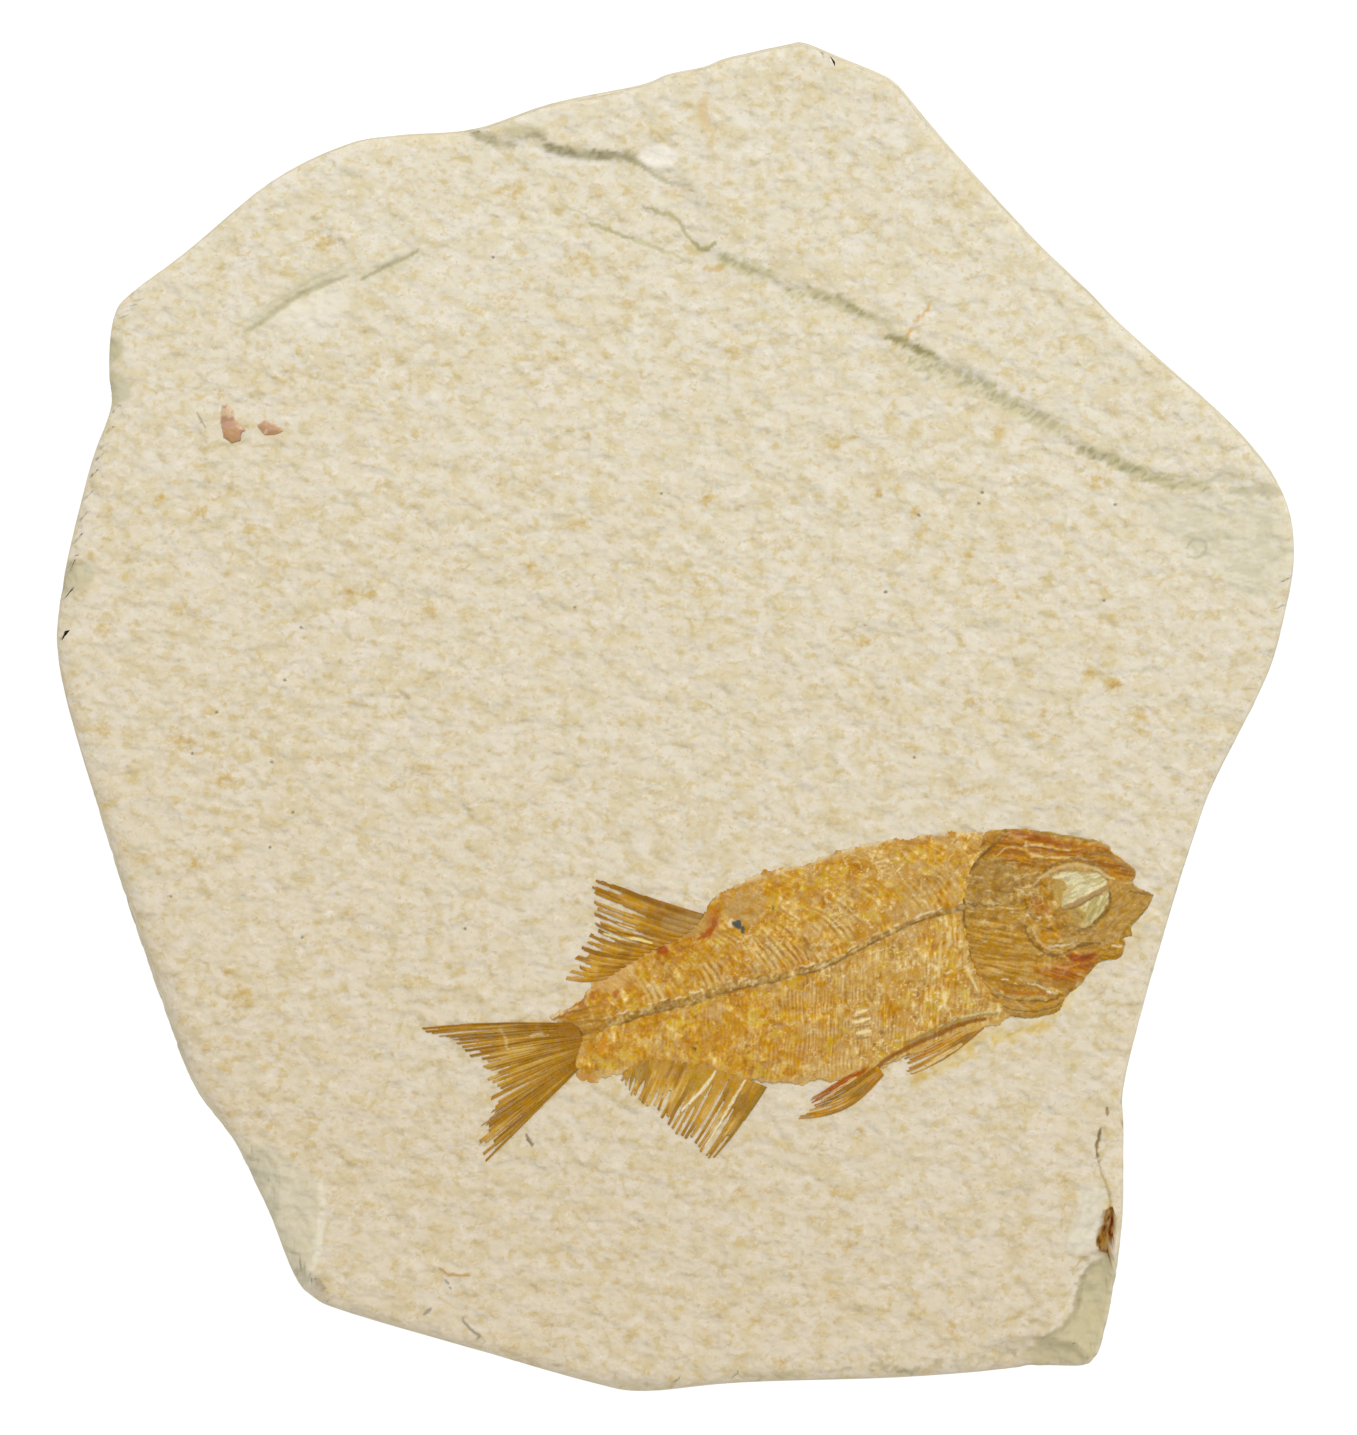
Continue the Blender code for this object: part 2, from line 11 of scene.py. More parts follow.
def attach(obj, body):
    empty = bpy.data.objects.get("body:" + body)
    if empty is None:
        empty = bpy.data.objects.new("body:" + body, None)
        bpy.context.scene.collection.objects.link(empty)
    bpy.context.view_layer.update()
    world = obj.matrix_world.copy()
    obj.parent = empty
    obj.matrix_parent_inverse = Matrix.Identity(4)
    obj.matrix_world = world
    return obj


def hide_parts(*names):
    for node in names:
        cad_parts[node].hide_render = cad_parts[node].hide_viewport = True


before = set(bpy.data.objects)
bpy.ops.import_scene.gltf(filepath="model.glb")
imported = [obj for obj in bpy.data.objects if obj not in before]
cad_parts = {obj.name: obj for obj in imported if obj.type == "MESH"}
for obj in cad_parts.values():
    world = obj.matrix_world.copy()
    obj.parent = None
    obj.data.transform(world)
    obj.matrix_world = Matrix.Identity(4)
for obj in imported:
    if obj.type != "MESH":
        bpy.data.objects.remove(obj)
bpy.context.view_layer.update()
mm = 0.001

# Where the fish lies: the root of its tail, and how far it is turned
fishPlace = {"x": -11.7, "y": -42.0, "turn": 13.5}


def linear(hexColour):
    # An sRGB colour such as "#c9a468" as linear numbers.
    parts = [int(hexColour[i:i + 2], 16) / 255 for i in (1, 3, 5)]
    return [p / 12.92 if p <= 0.04045 else ((p + 0.055) / 1.055) ** 2.4 for p in parts] + [1]


def addNode(material, kind, links=None, **settings):
    # Adds a shader node with its settings, and links or sets its inputs.
    node = material.node_tree.nodes.new("ShaderNode" + kind)
    for name, value in settings.items():
        setattr(node, name, value)
    for socket, value in (links or {}).items():
        if isinstance(value, bpy.types.NodeSocket):
            material.node_tree.links.new(value, node.inputs[socket])
        else:
            node.inputs[socket].default_value = value
    return node


def newMaterial(name, roughness):
    material = bpy.data.materials.new(name)
    material.use_nodes = True
    shader = material.node_tree.nodes["Principled BSDF"]
    shader.inputs["Roughness"].default_value = roughness
    shader.inputs["IOR"].default_value = 1.5
    return material, shader


def grain(x, y, size, seed):
    # Smooth noise from -1 to 1, with lumps of about the given size.
    table = np.random.default_rng(seed).uniform(-1, 1, (256, 256))
    x, y = x / size, y / size
    left, low = np.floor(x).astype(int), np.floor(y).astype(int)
    s, t = x - left, y - low
    s, t = s * s * (3 - 2 * s), t * t * (3 - 2 * t)
    a, b = table[left % 256, low % 256], table[(left + 1) % 256, low % 256]
    c, d = table[left % 256, (low + 1) % 256], table[(left + 1) % 256, (low + 1) % 256]
    return (a + (b - a) * s) * (1 - t) + (c + (d - c) * s) * t


def streaks(x, y, angle, length, width, seed):
    # Noise that is drawn out in one direction, given in degrees.
    turn = math.radians(angle)
    return grain((x * math.cos(turn) + y * math.sin(turn)) / length,
                 (y * math.cos(turn) - x * math.sin(turn)) / width, 1, seed)


def ramp(value, low, high):
    # Rises smoothly from 0 at low to 1 at high.
    share = np.clip((value - low) / (high - low), 0, 1)
    return share * share * (3 - 2 * share)


def smooth(points, steps, closed=False):
    # A smooth line through the points.
    knots = [np.array(point, float) for point in points]
    if closed:
        knots = [knots[-1], *knots, knots[0], knots[1]]
    else:
        knots = [knots[0] * 2 - knots[1], *knots, knots[-1] * 2 - knots[-2]]
    line = []
    for before, start, end, after in zip(knots, knots[1:], knots[2:], knots[3:]):
        for t in np.arange(steps) / steps:
            line.append((2 * start + (end - before) * t
                         + (2 * before - 5 * start + 4 * end - after) * t**2
                         + (3 * start - before - 3 * end + after) * t**3) / 2)
    return np.array(line if closed else line + [knots[-2]])


def sharesOf(line):
    # The share of a line's length at each of its points.
    gone = np.concatenate([[0], np.cumsum(np.hypot(*np.diff(line[:, :2], axis=0).T))])
    return gone / gone[-1]


def distanceTo(x, y, line):
    # Distance of places from a line, and the share of the line's length nearest to them.
    line = line[:, :2]
    lengths = np.hypot(*np.diff(line, axis=0).T)
    away, share, gone = np.full(x.shape, 1e9), np.zeros(x.shape), 0.0
    for start, end, length in zip(line, line[1:], lengths):
        step = (end - start) / length
        t = np.clip((x - start[0]) * step[0] + (y - start[1]) * step[1], 0, length)
        here = np.hypot(x - start[0] - t * step[0], y - start[1] - t * step[1])
        nearer = here < away
        away = np.where(nearer, here, away)
        share = np.where(nearer, (gone + t) / lengths.sum(), share)
        gone += length
    return away, share


def inside(x, y, outline):
    # Whether places lie inside a closed outline.
    found = np.zeros(x.shape, bool)
    for start, end in zip(outline, np.roll(outline, -1, axis=0)):
        if start[1] != end[1]:
            crossing = (start[1] > y) != (end[1] > y)
            edge = (end[0] - start[0]) * (y - start[1]) / (end[1] - start[1]) + start[0]
            found ^= crossing & (x < edge)
    return found


def depthIn(x, y, outline):
    # Distance inside a closed outline, negative outside it.
    away, share = distanceTo(x, y, np.vstack([outline, outline[:1]]))
    return np.where(inside(x, y, outline), away, -away), share


def places(verts):
    return np.array([vert.co[:] for vert in verts])


def put(verts, x, y, z):
    for vert, *co in zip(verts, x, y, z):
        vert.co = co


def trim(bm, keep):
    # Removes vertices, then loose ones and places where a sheet hangs by a corner.
    bmesh.ops.delete(bm, geom=[v for v, k in zip(bm.verts[:], keep) if not k], context="VERTS")
    weak = [True]
    while weak:
        weak = [vert for vert in bm.verts if not vert.link_faces
                or sum(edge.is_boundary for edge in vert.link_edges) > 2]
        bmesh.ops.delete(bm, geom=weak, context="VERTS")


def addRing(bm, edges):
    # Extrudes a ring of edges and gives back the new edges and vertices.
    made = bmesh.ops.extrude_edge_only(bm, edges=edges)["geom"]
    return ([item for item in made if isinstance(item, bmesh.types.BMEdge)],
            [item for item in made if isinstance(item, bmesh.types.BMVert)])


def finishPiece(name, bm, material, node, values=None):
    # Makes the mesh an object that stands for a solid, with values for its material.
    bmesh.ops.recalc_face_normals(bm, faces=bm.faces)
    bm.normal_update()
    for face in bm.faces:
        face.smooth = True
    mesh = bpy.data.meshes.new(name)
    bm.to_mesh(mesh)
    bm.free()
    mesh.transform(Matrix.Scale(mm, 4))
    piece = bpy.data.objects.new(name, mesh)
    bpy.context.scene.collection.objects.link(piece)
    mesh.materials.append(material)
    for key, numbers in (values or {}).items():
        kind = "FLOAT_COLOR" if numbers.ndim == 2 else "FLOAT"
        if numbers.ndim == 2:
            numbers = np.hstack([numbers, np.ones((len(numbers), 1))])[:, :4]
            layer = mesh.color_attributes.new(key, kind, "POINT")
            layer.data.foreach_set("color", numbers.astype(np.float32).ravel())
        else:
            layer = mesh.attributes.new(key, kind, "POINT")
            layer.data.foreach_set("value", numbers.astype(np.float32))
    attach(piece, "root")
    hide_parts(node)
    print(f"{name}: {sum(len(face.vertices) - 2 for face in mesh.polygons)} triangles")
    return piece


# The slab

slabShape = {
    "cell": 0.72,            # size of the mesh's cells
    "top": 10.0,
    "layer": 0.8,            # thickness of the bedding layer left at the upper right
    "outline": (
        (14.8, 90.9), (17.2, 91.15), (21.9, 89.3), (27.5, 87.0), (29.2, 86.0), (30.6, 84.6),
        (35.4, 78.8), (42.1, 71.3), (48.9, 64.0), (55.6, 57.6), (61.0, 52.2),
        (75.8, 38.8), (81.8, 30.3), (83.3, 22.2), (81.8, 12.9), (79.1, 4.4), (72.5, -8.6),
        (69.7, -16.2), (65.7, -29.2), (60.6, -48.0), (60.3, -55.5), (60.2, -66.9),
        (59.0, -77.4), (57.5, -84.2), (56.4, -86.4), (54.6, -87.5), (47.9, -87.8),
        (30.0, -89.3),
        (8.5, -90.2), (-4.3, -91.4), (-11.7, -90.2), (-27.9, -85.5), (-44.0, -80.8),
        (-49.4, -78.6), (-52.2, -75.2), (-55.9, -66.2), (-60.8, -56.8), (-66.2, -49.0),
        (-72.5, -31.9), (-77.9, -15.1), (-83.3, 5.1), (-83.4, 15.9), (-79.6, 32.7),
        (-77.0, 40.1), (-76.3, 42.8), (-76.6, 45.2), (-76.6, 50.4), (-75.8, 54.8),
        (-73.4, 57.6), (-66.2, 63.0), (-54.8, 72.4), (-44.7, 77.4), (-37.3, 78.7),
        (-27.6, 79.5), (-17.0, 83.0), (-5.0, 85.5), (-1.3, 86.9), (3.8, 88.0), (6.7, 89.1)),
    # Foot of the step up to the layer at the upper right: x, y, and the width of the slope
    "step": (
        (-30.0, 82.5, 1.0), (-28.3, 79.0, 1.0), (-23.8, 77.4, 1.2), (-19.4, 77.6, 1.0),
        (-15.1, 76.1, 1.0), (-9.0, 75.5, 1.0), (-4.3, 74.0, 1.3), (-1.0, 71.5, 3.4),
        (1.5, 66.4, 4.9), (4.2, 62.0, 2.9), (8.2, 60.3, 1.6), (13.6, 58.8, 1.8),
        (18.4, 57.0, 1.7), (24.4, 54.2, 2.0), (29.4, 50.8, 1.8), (34.6, 47.9, 2.0),
        (40.0, 45.2, 2.2), (45.5, 41.8, 2.6), (50.6, 38.6, 2.6), (55.0, 35.6, 1.8),
        (61.0, 33.4, 1.6), (66.5, 31.6, 1.8), (72.0, 30.8, 2.6), (78.0, 30.6, 2.2),
        (86.0, 29.6, 2.2)),
    # Two scrapes at the upper left
    "grooves": (((-58.3, 51.8), (-55.8, 53.3), (-53.4, 55.2), (-50.7, 56.9), (-47.8, 58.3),
                 (-44.5, 59.5)),
                ((-42.4, 59.0), (-40.9, 60.0), (-38.8, 61.0), (-37.0, 61.8), (-34.8, 62.9))),
    # Chips knocked out of the edges: x, y, z, then the radii of the hollow
    "chips": (
        (24.0, 90.5, 15.6, 11.0, 6.0, 5.2), (46.6, 67.0, 12.2, 4.6, 2.6, 2.3),
        (-82.9, 18.6, 9.8, 1.7, 2.2, 1.5), (-79.4, 44.4, 9.4, 3.4, 2.8, 3.4),
        (-57.2, -66.0, 10.6, 4.2, 8.4, 2.4), (-51.6, -79.0, 10.2, 4.6, 4.6, 3.4),
        (56.5, -79.0, 11.2, 4.6, 8.2, 3.2), (48.0, -87.6, 11.0, 9.0, 4.6, 3.2),
        (60.6, -60.0, 11.6, 2.8, 8.0, 2.6), (84.0, 24.0, 13.0, 7.0, 7.0, 2.9),
        (-6.0, -92.4, 10.6, 9.0, 3.4, 2.8), (-24.0, -88.2, 10.4, 8.0, 2.6, 2.2),
        (-77.0, 58.0, 11.0, 6.0, 5.0, 2.6), (-2.4, 76.0, 11.2, 3.2, 2.0, 1.0)),
    # Heights of the rings down the sides, and how far the edges are broken back
    "rings": (9.6, 9.1, 8.6, 8.0, 7.4, 6.8, 6.2, 5.6, 5.0, 4.4, 3.8, 3.2, 2.6, 2.0, 1.4, 0.8,
              0.3, 0.0),
    "topBack": 0.7, "sideBack": 1.7, "underBack": 1.3,
    # More of the top edge is broken back here: direction, width in degrees, mm
    "breaks": ((208, 26, 1.9), (268, 26, 0.9)),
}


def leanAt(x, y):
    # How far the top edge is set back, by direction from the middle.
    angle = np.degrees(np.arctan2(y, x))
    lean = np.full(x.shape, slabShape["topBack"])
    for middle, width, extra in slabShape["breaks"]:
        lean += extra * np.exp(-(((angle - middle + 180) % 360 - 180) / width) ** 2)
    return lean


def stepRise(x, y):
    # 0 below the step and 1 on the layer above it, with a ragged scarp between.
    warpX = x + 0.6 * grain(x, y, 4.3, 1) + 0.4 * cloud(x, y, 1.5, 2)
    warpY = y + 0.6 * grain(x, y, 3.7, 5) + 0.4 * cloud(x, y, 1.3, 6)
    line = smooth(slabShape["step"], 3)
    away, share = distanceTo(warpX, warpY, line)
    above = inside(warpX, warpY, np.vstack([line[:, :2], [(110, 110), (-60, 110)]]))
    wide = np.interp(share, sharesOf(line), line[:, 2]) * (1 + 0.4 * grain(x, y, 2.4, 9))
    return ramp(np.where(above, away, -away * 0.6), -0.3, wide)


def slabHeight(x, y):
    z = np.full(x.shape, slabShape["top"])
    z += slabShape["layer"] * stepRise(x, y)
    z += 0.16 * grain(x, y, 13.0, 11) + 0.09 * grain(x, y, 5.0, 12)
    z += 0.08 * streaks(x, y, -8, 2.6, 1.5, 13) + 0.05 * streaks(x, y, -12, 1.7, 1.1, 14)
    for line in slabShape["grooves"]:
        away, share = distanceTo(x + 0.15 * grain(x, y, 1.2, 16), y + 0.15 * grain(x, y, 1.2, 17),
                                 smooth(line, 4))
        ends = np.sin(np.pi * np.clip(share, 0.04, 0.96))
        z -= 0.28 * ends * np.exp(-(away / 0.38) ** 2)
        z -= 0.1 * ends * np.exp(-(away / 1.4) ** 2)
    return z


def chipAway(x, y, z):
    # Lowers what lies in the hollows that chips have left along the edges.
    for cx, cy, cz, rx, ry, rz in slabShape["chips"]:
        ragged = 1 + 0.12 * grain(x, y, 1.7, int(cx * 7) % 97)
        far = ((x - cx) / rx) ** 2 + ((y - cy) / ry) ** 2
        floor = cz - rz * np.sqrt(np.clip(ragged - far, 0, 1)) + 0.12 * grain(x, y, 0.9, 21)
        z = np.where((far < ragged) & (z > floor) & (z < cz + rz), floor, z)
    return z


# Marks on the face, on the grid for the whole slab. They are painted over the stone's own
# colours, and "fine" asks for smaller cells there
slabMarks = (
    # Ledge at the top: a dark foot in strands of painted olive shade, a pale rim below it that is a
    # painted highlight, and a chip of fresh stone
    {"line": ((466, 129), (482, 137), (500, 143), (513, 147)), "colour": "#b9b08c", "width": 1.0,
     "wobble": 0.3, "streaks": (30, "#b3ab88", 0.8, 0.3)},
    {"patch": ((506, 131), (518, 126), (532, 128), (546, 134), (544, 139), (528, 137), (514, 138)),
     "colour": "#c0b78f", "width": 0.7, "share": 0.75, "wobble": 0.3},
    {"line": ((524, 137), (536, 136), (546, 140)), "colour": "#aea583", "width": 0.5, "share": 0.7,
     "wobble": 0.2},
    {"line": ((545, 147), (555, 150), (565, 152), (583, 157), (597, 155), (612, 156)),
     "colour": "#bab18e", "width": 1.3, "share": 0.9, "wobble": 0.3,
     "streaks": (20, "#a09875", 0.9, 0.3)},
    {"line": ((606, 155), (622, 157), (634, 160), (646, 168)), "colour": "#b9b08c", "width": 1.0,
     "share": 0.85, "wobble": 0.3, "streaks": (20, "#b0a885", 0.8, 0.3)},
    # Painted highlight: the pale rim below the ledge
    {"line": ((515, 143), (540, 152), (565, 159), (590, 163), (618, 166)), "colour": "#e8e1d3",
     "width": 0.8, "share": 0.7, "wobble": 0.3},
    {"patch": ((641, 152), (653, 145), (668, 146), (678, 155), (672, 166), (656, 170), (643, 163)),
     "colour": "#efe9dc", "width": 0.7, "share": 0.85, "wobble": 0.3},
    {"line": ((646, 168), (658, 177), (673, 185)), "colour": "#bdb592", "width": 0.6},
    {"line": ((643, 206), (656, 211), (670, 215), (682, 225), (688, 236), (697, 245)),
     "colour": "#b8af84", "width": 0.55, "share": 0.9, "wobble": 0.25, "fine": 1, "rise": -0.06},
    {"line": ((590, 223), (606, 229), (620, 234), (636, 240)), "colour": "#b9b084", "width": 0.5,
     "share": 0.9, "wobble": 0.25, "fine": 1, "rise": -0.06},
    {"line": ((634, 240), (652, 247), (672, 254), (690, 262)), "colour": "#c9c098", "width": 0.6,
     "share": 0.85, "wobble": 0.3, "fine": 1},
    {"line": ((560, 203), (580, 212), (604, 222)), "colour": "#c6be9c", "width": 0.5, "share": 0.7,
     "wobble": 0.3, "fine": 1},
    {"line": ((693, 241), (700, 249), (708, 248), (715, 243)), "colour": "#b0a678", "width": 0.6,
     "share": 0.9, "fine": 1},
    {"line": ((703, 268), (712, 270), (724, 267)), "colour": "#c9ab67", "width": 0.9, "share": 0.7,
     "wobble": 0.3},
    {"line": ((705, 98), (703, 112), (707, 128), (710, 148)), "colour": "#d8bd8a", "width": 1.3,
     "share": 0.7, "wobble": 0.4, "broken": 0.2},
    {"line": ((492, 231), (520, 226), (540, 229), (566, 232)), "colour": "#e9dfbf", "width": 0.6,
     "share": 0.7, "wobble": 0.2},
    # Long ledge: woolly strands of painted olive shade that overlap along the step, where its scarp
    # faces away from the light
    {"line": ((719, 257), (732, 265), (748, 271), (764, 273), (779, 276)), "colour": "#d0c7a0",
     "width": 1.4, "share": 0.7, "wobble": 0.55, "streaks": (35, "#bcb386", 0.9, 0.35)},
    {"line": ((785, 290), (800, 295), (815, 294), (835, 301), (852, 309), (872, 318)),
     "colour": "#cdc499", "width": 1.4, "share": 0.75, "wobble": 0.5,
     "streaks": (35, "#b0a678", 0.9, 0.35)},
    {"line": ((868, 317), (880, 322), (890, 328)), "colour": "#cdc49c", "width": 1.2, "share": 0.7,
     "wobble": 0.4},
    {"line": ((888, 337), (905, 344), (922, 351), (937, 359)), "colour": "#c4bb8f", "width": 1.1,
     "share": 0.9, "wobble": 0.3, "streaks": (30, "#a69c6e", 0.8, 0.3)},
    {"line": ((912, 362), (930, 369), (950, 377), (970, 383), (992, 393), (1008, 404)),
     "colour": "#cfc7a2", "width": 2.2, "share": 0.7, "wobble": 0.6,
     "streaks": (42, "#b4ab82", 1.0, 0.4)},
    {"line": ((985, 393), (1003, 401), (1022, 411), (1042, 421), (1062, 433)), "colour": "#cfc7a2",
     "width": 2.0, "share": 0.7, "wobble": 0.6, "streaks": (42, "#b5ac83", 1.0, 0.4)},
    {"line": ((1080, 449), (1100, 454), (1120, 464), (1140, 473), (1158, 481)), "colour": "#c8c097",
     "width": 1.6, "share": 0.75, "wobble": 0.5, "streaks": (40, "#aca378", 0.9, 0.35)},
    {"line": ((1150, 479), (1172, 484), (1192, 484), (1210, 488)), "colour": "#cbc39b", "width": 1.3,
     "share": 0.7, "wobble": 0.5, "streaks": (25, "#b1a87d", 0.9, 0.35)},
    {"line": ((1206, 484), (1218, 474), (1230, 465)), "colour": "#cac3a7", "width": 0.9, "share": 0.6,
     "wobble": 0.4},
    {"line": ((1229, 491), (1250, 492), (1266, 489), (1280, 490)), "colour": "#c0b999", "width": 1.3,
     "wobble": 0.4},
    # Grey-green streaks that slope to the right edge
    {"patch": ((1140, 498), (1190, 496), (1240, 500), (1282, 500), (1292, 545), (1276, 596), (1240, 590),
     (1205, 560), (1165, 530)), "colour": "#d7d0b8", "width": 3.0, "share": 0.5, "wobble": 0.6,
     "streaks": (-14, "#c5be9f", 2.2, 0.45)},
    {"line": ((1186, 548), (1193, 540), (1204, 541), (1206, 551), (1198, 558), (1188, 557)),
     "colour": "#b9b49c", "width": 0.45, "share": 0.75, "fine": 1},
    {"line": ((929, 308), (921, 318), (915, 326), (909, 334), (905, 341)), "colour": "#cf9f4f",
     "width": 0.6, "share": 0.75, "wobble": 0.35, "broken": 0.1},
    # Scrapes at the upper left, each in a soft band of painted shade, with darker painted shade along
    # their upper walls and a pale painted highlight below
    {"line": ((248, 326), (270, 311), (296, 291), (324, 277), (352, 270)), "colour": "#cbc4a6",
     "width": 2.2, "share": 0.55, "wobble": 0.4},
    {"line": ((356, 278), (378, 269), (400, 260), (422, 252)), "colour": "#cdc6a9", "width": 1.7,
     "share": 0.5, "wobble": 0.4},
    # Painted shade along the upper walls of the scrapes
    {"line": ((245, 332), (262, 322), (280, 308), (298, 296), (322, 285), (346, 276)),
     "colour": "#bab28f", "width": 0.75, "share": 0.9, "wobble": 0.15},
    {"line": ((268, 305), (284, 297), (300, 287), (317, 277), (336, 270)), "colour": "#c3bb99",
     "width": 0.45, "wobble": 0.15},
    {"line": ((361, 279), (374, 272), (388, 265), (403, 258), (418, 251)), "colour": "#aea683",
     "width": 0.65, "share": 0.9, "wobble": 0.15},
    # Painted highlight on the lower walls of the scrapes, which face the light
    {"patch": ((268, 322), (300, 302), (335, 288), (352, 300), (330, 318), (300, 326)),
     "colour": "#e6dfcc", "width": 1.6, "share": 0.7, "wobble": 0.4},
    {"line": ((205, 442), (225, 446), (245, 441), (268, 445), (284, 442)), "colour": "#c3bb98",
     "width": 0.45, "share": 0.7, "wobble": 0.2, "broken": 0.1},
    {"line": ((197, 413), (202, 421), (205, 428)), "colour": "#8f8665", "width": 0.28, "share": 0.7,
     "fine": 1},
    # Painted olive shade in the notches of the left edge, and on the broken side face of the corner
    # below, which faces away from the light
    {"patch": ((104, 340), (116, 336), (124, 352), (112, 362), (104, 356)), "colour": "#b7b08c",
     "width": 0.9, "share": 0.7, "wobble": 0.3},
    {"patch": ((102, 374), (122, 372), (132, 396), (118, 404), (106, 398)), "colour": "#bdb592",
     "width": 0.9, "share": 0.7, "wobble": 0.3},
    {"patch": ((62, 562), (92, 564), (94, 578), (80, 592), (64, 596)), "colour": "#bdb592", "width": 0.9,
     "share": 0.6, "wobble": 0.3},
    {"patch": ((226, 1140), (256, 1146), (290, 1160), (314, 1190), (318, 1240), (308, 1286), (292, 1300),
     (270, 1250), (244, 1190)), "colour": "#d0c9b0", "width": 2.4, "share": 0.55, "wobble": 0.6,
     "streaks": (-50, "#c3bc9f", 1.8, 0.4)},
    {"line": ((318, 1176), (322, 1210), (318, 1250), (308, 1290)), "colour": "#e6dfcb", "width": 0.9,
     "share": 0.6, "wobble": 0.4, "broken": 0.15},
    # Small marks round the tail and near the lower edge
    {"line": ((526, 1134), (529, 1140), (532, 1146)), "colour": "#7b6844", "width": 0.4, "share": 0.9,
     "fine": 1},
    {"line": ((392, 1180), (430, 1184), (470, 1190), (545, 1197)), "colour": "#c9b88f", "width": 0.6,
     "share": 0.6, "wobble": 0.3, "broken": 0.2},
    {"line": ((438, 1268), (448, 1274), (456, 1275), (470, 1276)), "colour": "#b8904a", "width": 0.4,
     "share": 0.85, "wobble": 0.15, "fine": 1},
    {"line": ((445, 1279), (448, 1283)), "colour": "#7c7a74", "width": 0.35, "fine": 1},
    {"line": ((449, 1287), (451, 1289)), "colour": "#7c7a74", "width": 0.3, "fine": 1},
    {"line": ((463, 1321), (470, 1328), (476, 1333), (481, 1337)), "colour": "#857d6d", "width": 0.42,
     "share": 0.85, "fine": 1},
    {"line": ((483, 1339), (489, 1346)), "colour": "#a9a08c", "width": 0.35, "share": 0.7, "fine": 1},
    {"line": ((424, 1314), (431, 1309)), "colour": "#8f8878", "width": 0.5, "fine": 1},
    # Crack, brown stain and broken corner at the lower right; the hollow of the corner and the lines
    # along its wall and the right edge are painted shade
    {"line": ((1100, 1128), (1098, 1138), (1097, 1150), (1099, 1162)), "colour": "#7d6432", "width": 0.5,
     "share": 0.9, "wobble": 0.15, "rise": -0.12, "broken": 0.05, "fine": 1},
    {"line": ((1107, 1108), (1107, 1115)), "colour": "#8d7340", "width": 0.4, "share": 0.9, "fine": 1},
    {"line": ((1123, 1121), (1124, 1130)), "colour": "#8f7c52", "width": 0.35, "fine": 1},
    {"line": ((1099, 1162), (1102, 1176), (1107, 1187), (1110, 1200), (1110, 1212)), "colour": "#b19a66",
     "width": 0.4, "rise": -0.06, "fine": 1},
    {"patch": ((1101, 1214), (1107, 1209), (1113, 1207), (1115, 1220), (1114, 1236), (1110, 1252),
     (1102, 1253), (1097, 1247), (1097, 1234), (1100, 1224)), "colour": "#8f620c", "width": 0.3,
     "share": 0.97, "wobble": 0.2, "fine": 1, "streaks": (80, "#6f4704", 0.9, 0.3)},
    # Painted shade in the hollow of the broken corner, and along its wall
    {"patch": ((1106, 1256), (1114, 1262), (1112, 1300), (1104, 1340), (1092, 1362), (1040, 1362),
     (1020, 1358), (1040, 1342), (1060, 1330), (1078, 1312), (1080, 1290), (1092, 1268)),
     "colour": "#c1b68e", "width": 0.8, "share": 0.85, "wobble": 0.3,
     "streaks": (70, "#bfb592", 1.6, 0.6)},
    {"line": ((1102, 1262), (1088, 1272), (1081, 1290), (1077, 1312), (1062, 1328), (1040, 1340)),
     "colour": "#a89f7c", "width": 0.8, "wobble": 0.3},
    {"line": ((1098, 1256), (1086, 1266), (1075, 1284), (1070, 1306), (1056, 1320)), "colour": "#e2dbc8",
     "width": 0.7, "share": 0.5, "wobble": 0.4},
    {"patch": ((1080, 1186), (1096, 1184), (1104, 1204), (1098, 1232), (1082, 1250), (1068, 1256),
     (1066, 1240), (1076, 1216)), "colour": "#ddd5c1", "width": 1.0, "share": 0.75, "wobble": 0.3,
     "streaks": (60, "#cfc6ad", 1.4, 0.5)},
    # Painted shade along the right edge
    {"line": ((1122, 1180), (1124, 1210), (1122, 1250), (1115, 1290), (1107, 1330)), "colour": "#c9c1a6",
     "width": 0.6, "share": 0.7, "wobble": 0.2},
    # Ledges along the lower edge, as painted shade where the edge faces down and away from the light
    {"line": ((712, 1371), (740, 1372), (764, 1378), (790, 1374), (812, 1370)), "colour": "#b8ac88",
     "width": 0.8, "share": 0.6, "wobble": 0.35, "broken": 0.15},
    {"line": ((836, 1370), (858, 1366), (880, 1364), (900, 1373), (914, 1372), (940, 1361)),
     "colour": "#aa9f7c", "width": 0.8, "share": 0.7, "wobble": 0.3, "broken": 0.1},
    {"line": ((955, 1360), (985, 1360), (1010, 1354), (1032, 1350)), "colour": "#b4a985", "width": 0.7,
     "share": 0.6, "wobble": 0.3, "broken": 0.15},
    # Oil-yellow halo under the head and along the breast fin
    {"patch": ((958, 1046), (980, 1034), (1000, 1028), (1030, 1024), (1050, 1016), (1056, 1024),
     (1030, 1038), (1000, 1042), (975, 1054)), "colour": "#d9c27a", "width": 1.4, "share": 0.6,
     "wobble": 0.6, "broken": 0.15, "streaks": (25, "#cda646", 0.9, 0.4)},
    {"patch": ((905, 1080), (930, 1066), (955, 1050), (975, 1044), (990, 1036), (1000, 1040),
     (980, 1056), (950, 1068), (925, 1082)), "colour": "#d8c07a", "width": 1.4, "share": 0.6,
     "wobble": 0.6, "broken": 0.15, "streaks": (30, "#c9a24c", 0.9, 0.4)},
    {"line": ((1056, 1014), (1068, 1000), (1078, 984), (1092, 966)), "colour": "#ddc884", "width": 0.8,
     "share": 0.6, "wobble": 0.4},
    {"line": ((1124, 938), (1136, 930), (1148, 918), (1156, 906)), "colour": "#ddcc90", "width": 0.6,
     "share": 0.5, "wobble": 0.3},
)

